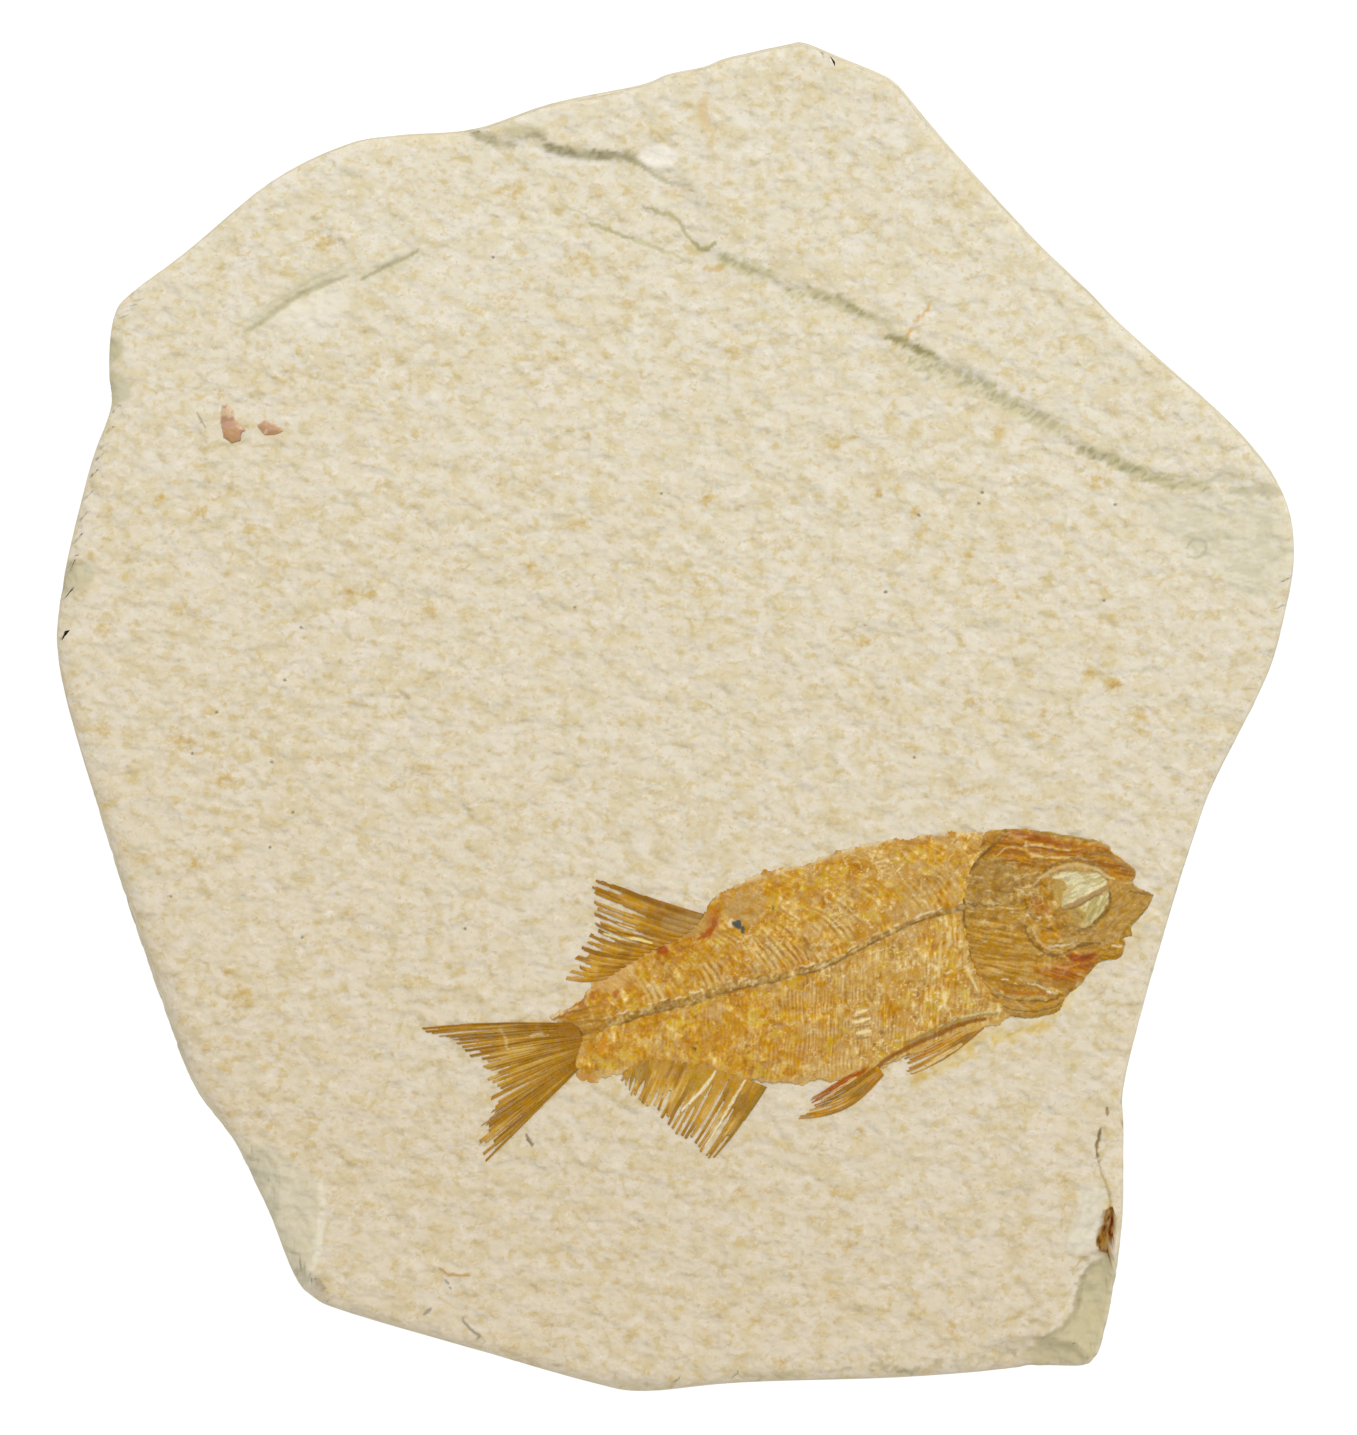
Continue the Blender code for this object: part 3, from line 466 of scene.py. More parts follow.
# Rusty clusters and chips of fresh white stone: x, y, radius in mm, share
rustSpots = (
    (325, 241, 2.2, 0.8), (220, 392, 0.8, 0.9), (287, 380, 1.3, 0.7), (371, 371, 0.8, 0.8),
    (398, 359, 0.7, 0.7), (451, 401, 0.9, 0.6), (159, 499, 1.0, 0.9), (140, 506, 0.8, 0.7),
    (178, 480, 0.7, 0.7), (146, 522, 0.8, 0.7), (199, 514, 1.3, 0.9), (220, 499, 1.0, 0.6),
    (249, 529, 1.3, 0.7), (281, 564, 1.0, 0.8), (350, 594, 1.7, 0.8), (371, 592, 1.3, 1.0),
    (312, 585, 1.3, 0.6), (417, 434, 1.0, 0.8), (427, 611, 2.0, 0.6), (110, 510, 0.8, 0.7),
    (92, 552, 1.0, 0.7), (106, 627, 1.5, 0.7), (180, 611, 1.3, 0.7), (346, 548, 0.9, 0.6),
    (463, 564, 1.2, 0.6), (320, 506, 0.9, 0.6), (514, 193, 2.2, 0.7), (602, 195, 1.1, 0.7),
    (627, 193, 0.9, 0.8), (579, 258, 2.2, 0.7), (505, 298, 2.0, 0.45), (627, 302, 1.8, 0.6),
    (736, 352, 1.5, 0.8), (791, 335, 0.7, 1.0), (774, 331, 1.2, 0.6), (558, 356, 2.0, 0.6),
    (532, 386, 0.6, 0.8), (644, 342, 0.6, 0.7), (587, 436, 1.3, 0.6), (833, 445, 1.7, 0.8),
    (858, 435, 0.7, 0.9), (499, 487, 1.3, 0.8), (530, 566, 1.0, 0.9), (543, 577, 1.2, 0.7),
    (579, 524, 1.3, 0.8), (707, 497, 1.4, 0.9), (698, 478, 0.6, 0.7), (776, 547, 0.9, 1.0),
    (761, 537, 0.9, 0.6), (774, 497, 0.6, 0.8), (877, 489, 1.1, 0.8), (883, 516, 0.8, 0.7),
    (656, 516, 0.9, 0.6), (698, 585, 1.9, 0.6), (652, 581, 0.8, 0.7), (740, 579, 0.8, 0.6),
    (570, 575, 0.6, 0.8), (866, 224, 0.9, 0.7), (182, 741, 2.0, 0.8), (226, 703, 0.8, 1.0),
    (245, 707, 1.2, 0.6), (224, 779, 1.6, 0.8), (220, 760, 1.2, 0.6), (102, 730, 1.7, 0.7),
    (106, 802, 1.1, 0.6), (123, 846, 0.9, 0.7), (196, 863, 1.2, 1.0), (150, 854, 1.4, 0.6),
    (228, 860, 1.0, 0.6), (173, 848, 1.2, 0.5), (320, 802, 1.1, 0.7), (316, 762, 0.8, 0.8),
    (337, 766, 0.7, 0.8), (289, 781, 0.8, 0.8), (392, 787, 1.2, 0.6), (421, 770, 1.9, 0.6),
    (455, 768, 1.2, 0.6), (453, 734, 1.3, 0.6), (446, 707, 1.2, 0.6), (354, 703, 1.0, 0.6),
    (371, 661, 1.0, 0.6), (430, 938, 1.1, 0.8), (421, 980, 1.0, 0.7), (425, 999, 0.9, 0.6),
    (350, 915, 1.1, 0.8), (241, 997, 2.5, 0.8), (228, 972, 1.2, 0.7), (207, 934, 0.8, 0.6),
    (304, 877, 1.1, 0.6), (341, 989, 0.5, 0.9), (205, 1050, 1.6, 0.6), (425, 808, 1.3, 0.6),
    (313, 1117, 1.8, 0.6), (309, 1144, 1.2, 0.8), (292, 1155, 0.9, 0.7), (255, 1117, 1.4, 0.6),
    (229, 1111, 1.2, 0.6), (225, 1067, 1.0, 0.7), (431, 1184, 2.0, 0.4), (423, 1252, 0.9, 0.7),
    (565, 1138, 1.2, 0.7), (603, 1144, 0.8, 0.6), (559, 1229, 0.8, 0.8), (494, 1231, 2.0, 0.4),
    (549, 1325, 0.8, 0.9), (528, 1367, 1.2, 0.7), (636, 1227, 1.8, 0.6), (672, 1183, 1.1, 0.6),
    (740, 1191, 1.2, 0.7), (773, 1188, 0.8, 0.8), (838, 1194, 1.2, 0.8), (857, 1192, 0.9, 0.7),
    (849, 1246, 1.3, 0.8), (823, 1139, 1.1, 0.7), (859, 1134, 1.4, 0.7), (1065, 1183, 1.0, 0.9),
    (1065, 1209, 0.9, 0.8), (1049, 1123, 0.7, 0.8), (836, 1298, 1.1, 0.9), (859, 1264, 1.0, 0.7),
    (953, 1329, 1.4, 0.7), (1020, 1295, 1.0, 0.6), (781, 1363, 1.2, 0.8), (630, 1337, 1.5, 0.7),
    (714, 1305, 1.4, 0.6), (667, 1292, 1.2, 0.6), (724, 1272, 1.3, 0.6), (755, 1320, 1.2, 0.6),
    (1026, 1225, 1.0, 0.5), (896, 1220, 1.4, 0.4), (854, 436, 0.8, 0.9), (878, 496, 0.8, 0.8),
    (914, 512, 0.9, 1.0), (883, 520, 1.0, 0.5), (919, 536, 1.8, 0.5), (998, 433, 1.2, 0.9),
    (929, 448, 0.6, 0.8), (1094, 481, 1.5, 0.8), (970, 553, 1.0, 0.8), (1003, 544, 1.2, 0.7),
    (994, 580, 0.9, 1.0), (1018, 596, 0.9, 0.8), (1073, 606, 0.7, 1.0), (1094, 582, 0.7, 0.7),
    (1111, 618, 1.2, 0.7), (1171, 572, 0.9, 0.7), (1200, 618, 1.1, 0.6), (1181, 616, 0.6, 0.8),
    (1114, 685, 1.4, 1.0), (1090, 673, 1.1, 0.8), (1109, 649, 0.9, 0.7), (1138, 714, 1.6, 0.8),
    (1142, 730, 1.0, 0.8), (1042, 712, 1.1, 0.8), (1034, 733, 1.1, 0.8), (1056, 738, 0.9, 0.7),
    (972, 700, 1.1, 0.7), (912, 748, 1.0, 0.9), (883, 733, 0.9, 0.7), (869, 695, 0.8, 0.7),
    (845, 709, 1.2, 0.7), (883, 702, 1.0, 0.7), (864, 642, 1.5, 0.8), (878, 635, 0.8, 0.8),
    (1205, 728, 1.1, 0.7), (1200, 738, 0.9, 0.7), (1202, 647, 0.8, 0.7), (1210, 779, 0.9, 0.9),
    (1195, 788, 0.9, 0.8), (955, 793, 1.6, 0.7), (936, 781, 0.9, 0.7), (1123, 784, 0.8, 0.7),
    (1022, 388, 0.9, 0.9), (1022, 340, 1.3, 0.6), (1195, 440, 0.7, 0.9), (943, 258, 1.6, 0.5),
)
paleSpots = (
    (505, 230, 1.0, 0.9), (308, 319, 1.8, 0.7), (152, 378, 0.9, 0.8), (184, 367, 0.6, 0.8),
    (94, 510, 1.0, 0.8), (255, 520, 0.8, 0.7), (325, 567, 0.8, 0.9), (274, 558, 0.5, 0.9),
    (532, 439, 0.6, 1.0), (570, 453, 0.8, 0.8), (556, 474, 1.0, 0.8), (560, 501, 0.6, 0.9),
    (507, 501, 0.6, 0.8), (591, 316, 0.6, 0.8), (690, 400, 0.8, 0.7), (711, 516, 1.0, 0.8),
    (736, 583, 0.8, 0.9), (354, 764, 0.9, 1.0), (228, 909, 0.9, 1.0), (329, 913, 1.0, 1.0),
    (87, 734, 0.8, 0.8), (89, 747, 0.6, 0.9), (316, 833, 0.6, 0.9), (346, 884, 0.8, 0.8),
    (301, 953, 0.9, 0.9), (362, 947, 0.7, 0.9), (152, 737, 0.7, 0.7), (358, 1163, 0.6, 0.9),
    (370, 1266, 0.6, 0.9), (345, 1293, 0.6, 0.9), (357, 1302, 0.7, 0.9), (381, 1081, 0.8, 0.7),
    (1003, 361, 1.3, 0.8), (1075, 448, 1.0, 0.7), (1195, 553, 0.8, 0.7), (869, 407, 0.9, 0.6),
    (740, 1233, 1.0, 0.9), (786, 1292, 0.8, 1.0), (771, 1269, 0.6, 0.9), (651, 1235, 0.8, 0.8),
    (785, 832, 1.1, 0.9), (350, 775, 0.8, 0.7), (1090, 1260, 0.7, 0.8), (1120, 1000, 1.4, 0.5),
)
darkSpecks = (
    (661, 493), (285, 680), (217, 712), (272, 762), (192, 753), (293, 812), (302, 937),
    (171, 896), (465, 928), (270, 847), (886, 592), (982, 492), (1104, 600), (919, 515),
    (914, 757), (979, 503), (493, 257), (885, 592), (301, 627), (575, 607), (1115, 504),
)


def specks():
    # Pinpricks of dark mineral.
    return tuple({"line": ((x - 0.8, y), (x + 0.8, y + 0.6)), "width": 0.4, "fine": 1,
                  "colour": "#6a6350", "share": 0.8, "wobble": 0.05} for x, y in darkSpecks)


def fromMarks(x, y, marks):
    # Distance from the edge of the nearest mark.
    near = np.full(x.shape, 99.0)
    for mark in marks:
        line = fromGrid(mark.get("line") or mark["patch"], "whole")
        away = distanceTo(x, y, line)[0] - mark["width"] / 2
        if "patch" in mark:
            away = np.where(inside(x, y, line), -1, away)
        near = np.minimum(near, away)
    return near


def buildSlab():
    outline = smooth(slabShape["outline"], 5, closed=True)
    ring = np.vstack([outline, outline[:1]])
    spans = np.hypot(*np.diff(ring, axis=0).T)
    shares = np.concatenate([[0], np.cumsum(spans)]) / spans.sum()
    turned = np.roll(outline, -1, axis=0) - np.roll(outline, 1, axis=0)
    inward = np.stack([turned[:, 1], -turned[:, 0]], axis=1)
    inward /= np.hypot(*inward.T)[:, None]
    inward = np.vstack([inward, inward[:1]])
    topEdge = outline + inward[:-1] * leanAt(*outline.T)[:, None]

    bm = bmesh.new()
    for name in ("share", "rim"):
        bm.verts.layers.float.new(name)
    shareLayer, rimLayer = (bm.verts.layers.float[name] for name in ("share", "rim"))
    cell = slabShape["cell"]
    bmesh.ops.create_grid(bm, x_segments=round(172 / cell), y_segments=round(188 / cell),
                          size=1)
    bmesh.ops.scale(bm, verts=bm.verts, vec=(86, 94, 1))
    x, y, z = places(bm.verts).T
    depth, share = depthIn(x, y, topEdge)
    trim(bm, depth > cell * 0.6)
    marks = slabMarks + specks()
    for reach, chosen in ((0.7, marks), (0.3, [mark for mark in marks if "fine" in mark])):
        x, y, z = places(bm.verts).T
        near = fromMarks(x, y, chosen)
        if reach == 0.7:
            for line in (slabShape["step"], *slabShape["grooves"]):
                near = np.minimum(near, distanceTo(x, y, smooth(line, 2))[0] - 0.8)
        bm.verts.index_update()
        fine = [edge for edge in bm.edges if all(near[vert.index] < reach for vert in edge.verts)]
        bmesh.ops.subdivide_edges(bm, edges=fine, cuts=1, use_grid_fill=True)

    # The rim of the top face, moved onto its edge
    edges, rim = addRing(bm, [edge for edge in bm.edges if edge.is_boundary])
    for turn in range(3):
        x, y, z = places(rim).T
        depth, share = depthIn(x, y, topEdge)
        put(rim, np.interp(share, shares, np.append(topEdge[:, 0], topEdge[0, 0])),
            np.interp(share, shares, np.append(topEdge[:, 1], topEdge[0, 1])), z)
        if turn < 2:
            bmesh.ops.smooth_vert(bm, verts=rim, factor=0.5, use_axis_x=True, use_axis_y=True)
    x, y, z = places(bm.verts).T
    depth, share = depthIn(x, y, topEdge)
    z = slabHeight(x, y) - 0.35 * np.exp(-np.clip(depth, 0, 9) / 0.7)
    put(bm.verts, x, y, chipAway(x, y, z))

    # The broken sides, in layers
    edges = [edge for edge in bm.edges if edge.is_boundary]
    rim = list({vert for edge in edges for vert in edge.verts})
    x, y, z = places(rim).T
    where = depthIn(x, y, topEdge)[1]
    for vert, value in zip(rim, where):
        vert[shareLayer], vert[rimLayer] = value, vert.co.z
    total = spans.sum()
    for height in slabShape["rings"]:
        edges, verts = addRing(bm, edges)
        share = np.array([vert[shareLayer] for vert in verts])
        start = np.array([vert[rimLayer] for vert in verts])
        length = share * total
        level = start * height / 10.2
        bed = level / 1.3 + 0.35 * grain(length, level * 0, 17.0, 31)
        layer = np.floor(bed) * 9.7
        rough = 0.9 * grain(length, layer, 8.0, 32) + 0.4 * grain(length, layer, 2.3, 33)
        rough = np.clip(rough, 0, 1)
        back = slabShape["sideBack"] * rough
        back += 0.18 * grain(length, level * 3, 1.2, 34) + 0.08
        back += slabShape["underBack"] * np.clip(1 - level / 2.4, 0, 1)
        px, py = (np.interp(share, shares, ring[:, i]) for i in (0, 1))
        nx, ny = (np.interp(share, shares, inward[:, i]) for i in (0, 1))
        least = slabShape["topBack"]
        lean = least * np.clip((level - 8.6) / 1.6, 0, 1)
        lean += (leanAt(px, py) - least) * np.clip((level - 4.5) / 5.7, 0, 1) ** 1.5
        belt = level - 8.6 - 0.4 * grain(length, length * 0, 23.0, 35)
        back *= np.clip((start - level) / 1.2, 0, 1) * ramp(np.abs(belt), 0.3, 1.6)
        back = np.maximum(back, 0) + lean
        x, y = px + nx * back, py + ny * back
        put(verts, x, y, chipAway(x, y, level) if height > 2 else level)

    # The back face, flat and cut in cells
    bmesh.ops.contextual_create(bm, geom=edges)
    for axis, reach in ((0, 84), (1, 92)):
        normal = (1 - axis, axis, 0)
        for place in np.arange(-reach, reach, 5.0):
            flat = [face for face in bm.faces if all(vert.co.z == 0 for vert in face.verts)]
            around = {item for face in flat for item in (*face.verts, *face.edges)}
            bmesh.ops.bisect_plane(bm, geom=flat + list(around), dist=0.001,
                                   plane_co=Vector(normal) * place, plane_no=normal)
    bmesh.ops.triangulate(bm, faces=[face for face in bm.faces if len(face.verts) > 4])

    # Marks and stains of the top face
    x, y, z = places(bm.verts).T
    onTop = ramp(z, 5.0, 7.5)
    colours, rise = np.zeros((len(x), 4)), np.zeros(len(x))
    for mark in marks:
        colours, rise = drawMark(x, y, mark, colours, rise)
    put(bm.verts, x, y, z + rise * ramp(z, 8.5, 9.5))
    values = {"marks": colours * onTop[:, None]}
    for name, spots in (("rust", rustSpots), ("fresh", paleSpots)):
        amount = np.zeros(len(x))
        for px, py, size, share in spots:
            cx, cy = fromGrid([(px, py)], "whole")[0]
            far = np.hypot(x - cx, (y - cy) * 1.2) / size
            amount = np.maximum(amount, share * np.exp(-far**2))
        values[name] = amount * onTop
    return bm, values


# The fish

# Drawn marks lie on grids: x to the right, y down, from a corner in mm, in steps of
# mm. The marks of the head have a finer grid of their own.
grids = {
    "whole": {"x": -91.12, "y": 96.64, "step": 0.1346},
    "head": {"x": 34.05, "y": -12.38, "step": 0.02146},
}


def fromGrid(points, name):
    grid = grids[name]
    return np.array([(grid["x"] + x * grid["step"], grid["y"] - y * grid["step"])
                     for x, y in points])


def alongFish(x, y):
    # Distance along the fish from the root of its tail, and across it towards its back.
    turn = math.radians(fishPlace["turn"])
    x, y = x - fishPlace["x"], y - fishPlace["y"]
    return x * math.cos(turn) + y * math.sin(turn), y * math.cos(turn) - x * math.sin(turn)


def onSlab(points):
    # Places given along and across the fish, as places on the slab.
    turn = math.radians(fishPlace["turn"])
    a, c = np.array(points, float).T
    return np.stack([fishPlace["x"] + a * math.cos(turn) - c * math.sin(turn),
                     fishPlace["y"] + a * math.sin(turn) + c * math.cos(turn)], axis=1)


def cloud(x, y, size, seed):
    # Rougher noise, of lumps on lumps.
    return (grain(x, y, size, seed) + 0.5 * grain(x, y, size * 0.47, seed + 1)
            + 0.25 * grain(x, y, size * 0.22, seed + 2)) / 1.3


def squiggle(x, y, size, width, seed):
    # Thin winding lines, where a noise passes through zero.
    return np.exp(-(cloud(x, y, size, seed) / width) ** 2)


def over(colours, hexColour, mask):
    # Lays a colour over others by its mask. A fourth column counts how much is covered.
    top = np.array(linear(hexColour)[:colours.shape[1]])
    return colours + (top - colours) * np.clip(mask, 0, 1)[:, None]


def tones(field, stops):
    # Colours of a noise, between the colours given for some of its values.
    keys = [key for key, hexColour in stops]
    parts = np.array([linear(hexColour)[:3] for key, hexColour in stops])
    return np.stack([np.interp(field, keys, parts[:, i]) for i in range(3)], axis=1)


def drawMark(x, y, mark, colours, rise):
    # Adds one line or patch of bone or mineral to the colours and heights.
    width = mark.get("width", 0.3)
    points = fromGrid(mark.get("line") or mark["patch"], mark.get("grid", "whole"))
    reach = width + mark.get("wobble", 0.12) + 0.3
    near = ((x > points[:, 0].min() - reach) & (x < points[:, 0].max() + reach)
            & (y > points[:, 1].min() - reach) & (y < points[:, 1].max() + reach))
    if not near.any():
        return colours, rise
    x, y = x[near], y[near]
    wobble = mark.get("wobble", 0.12)
    wx = x + wobble * cloud(x, y, 0.7, 51)
    wy = y + wobble * cloud(x, y, 0.7, 61)
    if "line" in mark:
        line = smooth(points, 3) if len(points) > 2 else points
        away, share = distanceTo(wx, wy, line)
        room = width * (0.55 + 0.45 * np.sin(np.pi * np.clip(share, 0.02, 0.98)) ** 0.6)
        mask = 1 - ramp(away, room * 0.25, room * 0.75)
    else:
        depth, share = depthIn(wx, wy, smooth(points, 3, closed=True))
        mask = ramp(depth, -width / 2, width / 2)
    broken = mark.get("broken", 0)
    if broken:
        mask *= ramp(cloud(x, y, 1.1, 71 + int(10 * width)), -0.75 + broken, -0.2 + broken)
    mask *= mark.get("share", 0.8)
    colours[near] = over(colours[near], mark["colour"], mask)
    if "streaks" in mark:
        angle, second, long, thin = mark["streaks"]
        drawn = streaks(x, y, angle, long, thin, 81)
        drawn = ramp(drawn + 0.4 * streaks(x, y, angle, long / 2, thin / 2, 82), -0.15, 0.3)
        colours[near] = over(colours[near], second, mask * drawn)
        rise[near] += mask * drawn * 0.03
        threads = streaks(x, y, angle, long * 0.8, thin * 0.6, 83)
        colours[near] *= (1 + 0.2 * mask * threads)[:, None]
    rise[near] += mask * mark.get("rise", 0.0)
    return colours, rise


def buildSheet(outline, cell, ragged):
    # A sheet of fine cells inside an outline, closed by a wall and an underside.
    bm = bmesh.new()
    least, most = outline.min(axis=0) - 1, outline.max(axis=0) + 1
    half, middle = (most - least) / 2, (most + least) / 2
    columns, rows = (half * 2 / cell).astype(int)
    bmesh.ops.create_grid(bm, x_segments=int(columns), y_segments=int(rows), size=1)
    bmesh.ops.scale(bm, verts=bm.verts, vec=(*half, 1))
    bmesh.ops.translate(bm, verts=bm.verts, vec=(*middle, 0))
    x, y, z = places(bm.verts).T
    depth, share = depthIn(x + ragged * cloud(x, y, 1.2, 91), y + ragged * cloud(x, y, 1.2, 94),
                           outline)
    trim(bm, depth > 0)
    edges, rim = addRing(bm, [edge for edge in bm.edges if edge.is_boundary])
    for vert in rim:
        vert.co.z = -1
    bmesh.ops.smooth_vert(bm, verts=rim, factor=0.5, use_axis_x=True, use_axis_y=True)
    bmesh.ops.triangle_fill(bm, edges=edges, use_beauty=False)
    return bm


def shapeSheet(bm, low, shape):
    # Gives a sheet's top its height and colour from a function, and its underside a depth.
    x, y, z = places(bm.verts).T
    height, colours = shape(x, y)
    put(bm.verts, x, y, np.where(z < -0.5, low, slabHeight(x, y) + height))
    return colours


trunkShape = {
    "cell": 0.14,
    "low": 9.5,
    "ragged": 0.65,           # how far the rim wanders
    "rise": 0.36,            # height of the body over the slab, away from its rim
    # Outline along and across the fish
    "outline": (
        (-4.4, 2.9), (-2.1, 3.4), (-0.2, 4.2), (1.8, 6.2), (5.2, 7.4), (8.7, 8.5),
        (12.4, 9.3), (17.0, 10.9), (19.2, 12.6), (21.6, 13.9), (25.0, 14.9), (31.3, 15.1),
        (36.9, 15.5), (41.5, 15.7), (45.9, 15.5), (49.5, 15.0), (53.3, 14.6), (57.9, 13.6),
        (60.0, 12.9), (57.4, 10.5), (55.2, 6.4), (54.2, 1.0), (54.4, -4.0), (56.4, -8.6),
        (56.6, -11.2), (54.6, -11.8), (52.7, -12.3), (49.2, -12.4), (45.5, -12.9),
        (40.4, -13.7), (36.8, -14.1), (30.5, -14.3), (25.8, -13.6), (21.2, -12.7),
        (15.5, -9.9), (10.7, -7.6), (6.1, -6.5), (2.8, -6.7), (-0.2, -6.6), (-2.9, -5.8),
        (-3.3, -3.9), (-2.3, -1.9), (-1.7, 0.0), (-3.0, 1.6)),
    "backbone": ((-6.0, -0.4), (-1.5, 0.0), (7.1, 0.7), (14.0, 0.8), (21.0, 1.2), (29.3, 1.0),
                 (35.0, 1.6), (40.9, 3.1), (46.6, 4.1), (52.4, 4.4), (60.0, 4.4)),
    "vertebrae": 1.42,       # length of one
    # Half width of the backbone, along the fish
    "boneWidth": ((-6, 0.3), (-2, 0.5), (2, 0.62), (20, 0.6), (30, 0.48), (38, 0.32),
                  (46, 0.3), (53, 0.45)),
    "spacing": 0.95,         # between the spines
    # Tones of the film, dark to pale: where it is tan, where iron has turned it gold, and
    # on the backbone
    "tan": ((-1.2, "#8f6320"), (-0.7, "#a67835"), (-0.3, "#b38840"), (0.05, "#bd934b"),
            (0.4, "#c79f57"), (0.8, "#d3b06c"), (1.3, "#e6cf9c")),
    "gold": ((-1.2, "#98600a"), (-0.7, "#aa6f08"), (-0.3, "#b87c0e"), (0.05, "#c18a20"),
             (0.4, "#cc9a36"), (0.8, "#dab35c"), (1.3, "#eed99e")),
    "bone": ((-1.2, "#6b4f1e"), (-0.6, "#886630"), (-0.1, "#9f7d42"), (0.3, "#b08f54"),
             (0.8, "#cdb27a"), (1.2, "#e6d4a8")),
}

trunkMarks = (
    {"patch": ((722, 905), (735, 893), (752, 892), (768, 899), (764, 915), (752, 925), (734, 921),
     (724, 915)), "colour": "#b58f52", "width": 1.6, "share": 0.6, "wobble": 0.3},
    {"patch": ((706, 931), (705, 918), (712, 908), (719, 909), (721, 919), (713, 925), (710, 936)),
     "colour": "#b0661a", "width": 0.9, "share": 0.7, "wobble": 0.3},
    {"line": ((699, 940), (706, 936), (713, 926), (717, 912)), "colour": "#a24c08", "width": 0.6,
     "share": 0.85, "wobble": 0.3, "broken": 0.05},
    {"patch": ((653, 941), (662, 942), (669, 950), (665, 955), (657, 952)), "colour": "#a34c08",
     "width": 0.5, "share": 0.95},
    {"patch": ((612, 995), (614, 989), (619, 989), (618, 995), (614, 998)), "colour": "#ad5d12",
     "width": 0.35, "share": 0.85},
    {"line": ((560, 1016), (572, 1009), (581, 1003), (590, 996), (597, 992)), "colour": "#a9600f",
     "width": 1.0, "broken": 0.25, "wobble": 0.35},
    {"line": ((552, 1020), (566, 1014), (580, 1010), (590, 1006)), "colour": "#8f5c1c", "width": 0.4},
    {"patch": ((560, 1018), (584, 1008), (600, 1004), (606, 1018), (602, 1036), (586, 1044),
     (572, 1036)), "colour": "#b4801c", "width": 1.2, "share": 0.5, "wobble": 0.4,
     "streaks": (10, "#966410", 1.8, 0.25)},
    # Tan film at the root of the back fin, then the rust-dark line above the breast fin
    {"patch": ((672, 920), (700, 912), (708, 920), (700, 934), (680, 938), (664, 940)),
     "colour": "#b18f52", "width": 1.2, "share": 0.6, "wobble": 0.4},
    {"patch": ((586, 984), (600, 974), (624, 962), (640, 964), (630, 980), (606, 992)),
     "colour": "#cfa768", "width": 1.6, "share": 0.6, "wobble": 0.5},
    # Pale streaks behind the gill cover
    {"line": ((130, 731), (120, 800), (112, 880), (105, 975)), "colour": "#dcc288", "width": 0.5,
     "share": 0.75, "broken": 0.2, "grid": "head"},
    {"line": ((174, 836), (182, 900), (192, 975)), "colour": "#d8bd80", "width": 0.4, "share": 0.7,
     "broken": 0.2, "grid": "head"},
    {"line": ((70, 819), (60, 930), (52, 1045)), "colour": "#dcc27c", "width": 0.5, "share": 0.7,
     "broken": 0.2, "grid": "head"},
    {"line": ((226, 975), (262, 1060), (296, 1132)), "colour": "#e2cc96", "width": 0.35, "share": 0.75,
     "broken": 0.15, "grid": "head"},
    {"patch": ((597, 1052), (602, 1040), (607, 1036), (606, 1046), (601, 1053)), "colour": "#c98421",
     "width": 0.5, "share": 0.9},
    {"patch": ((580, 1074), (590, 1074), (596, 1080), (588, 1084), (580, 1080)), "colour": "#c38a3f",
     "width": 0.5},
    # Cream rungs low on the flank
    {"line": ((856, 1013), (866, 1010)), "colour": "#e8d29c", "width": 0.4, "share": 1.0},
    {"line": ((855, 1022), (869, 1018)), "colour": "#e8d29c", "width": 0.5, "share": 1.0},
    {"line": ((857, 1033), (870, 1031)), "colour": "#e8d29c", "width": 0.5, "share": 1.0},
    {"line": ((855, 1017), (866, 1015)), "colour": "#a37f45", "width": 0.3, "share": 1.0},
    {"line": ((855, 1028), (870, 1025)), "colour": "#a37f45", "width": 0.35, "share": 1.0},
    {"line": ((856, 1038), (868, 1037)), "colour": "#a37f45", "width": 0.35, "share": 1.0},
    # A speck of dark mineral with a pale rim
    {"patch": ((727, 923), (731, 918), (734, 921), (733, 926), (729, 927)), "colour": "#e0cba0",
     "width": 0.4},
    {"patch": ((731, 921), (737, 920), (741, 924), (739, 928), (734, 926)), "colour": "#4c5048",
     "width": 0.25, "rise": 0.12, "wobble": 0.3, "share": 1.0},
    {"patch": ((740, 926), (744, 928), (746, 932), (742, 932)), "colour": "#4c5048", "width": 0.25,
     "rise": 0.1, "wobble": 0.3, "share": 1.0},
    {"patch": ((771, 906), (774, 907), (773, 910)), "colour": "#6b5a36", "width": 0.3, "share": 1.0},
    {"patch": ((693, 1047), (697, 1048), (695, 1051)), "colour": "#5f5433", "width": 0.25, "share": 1.0},
)


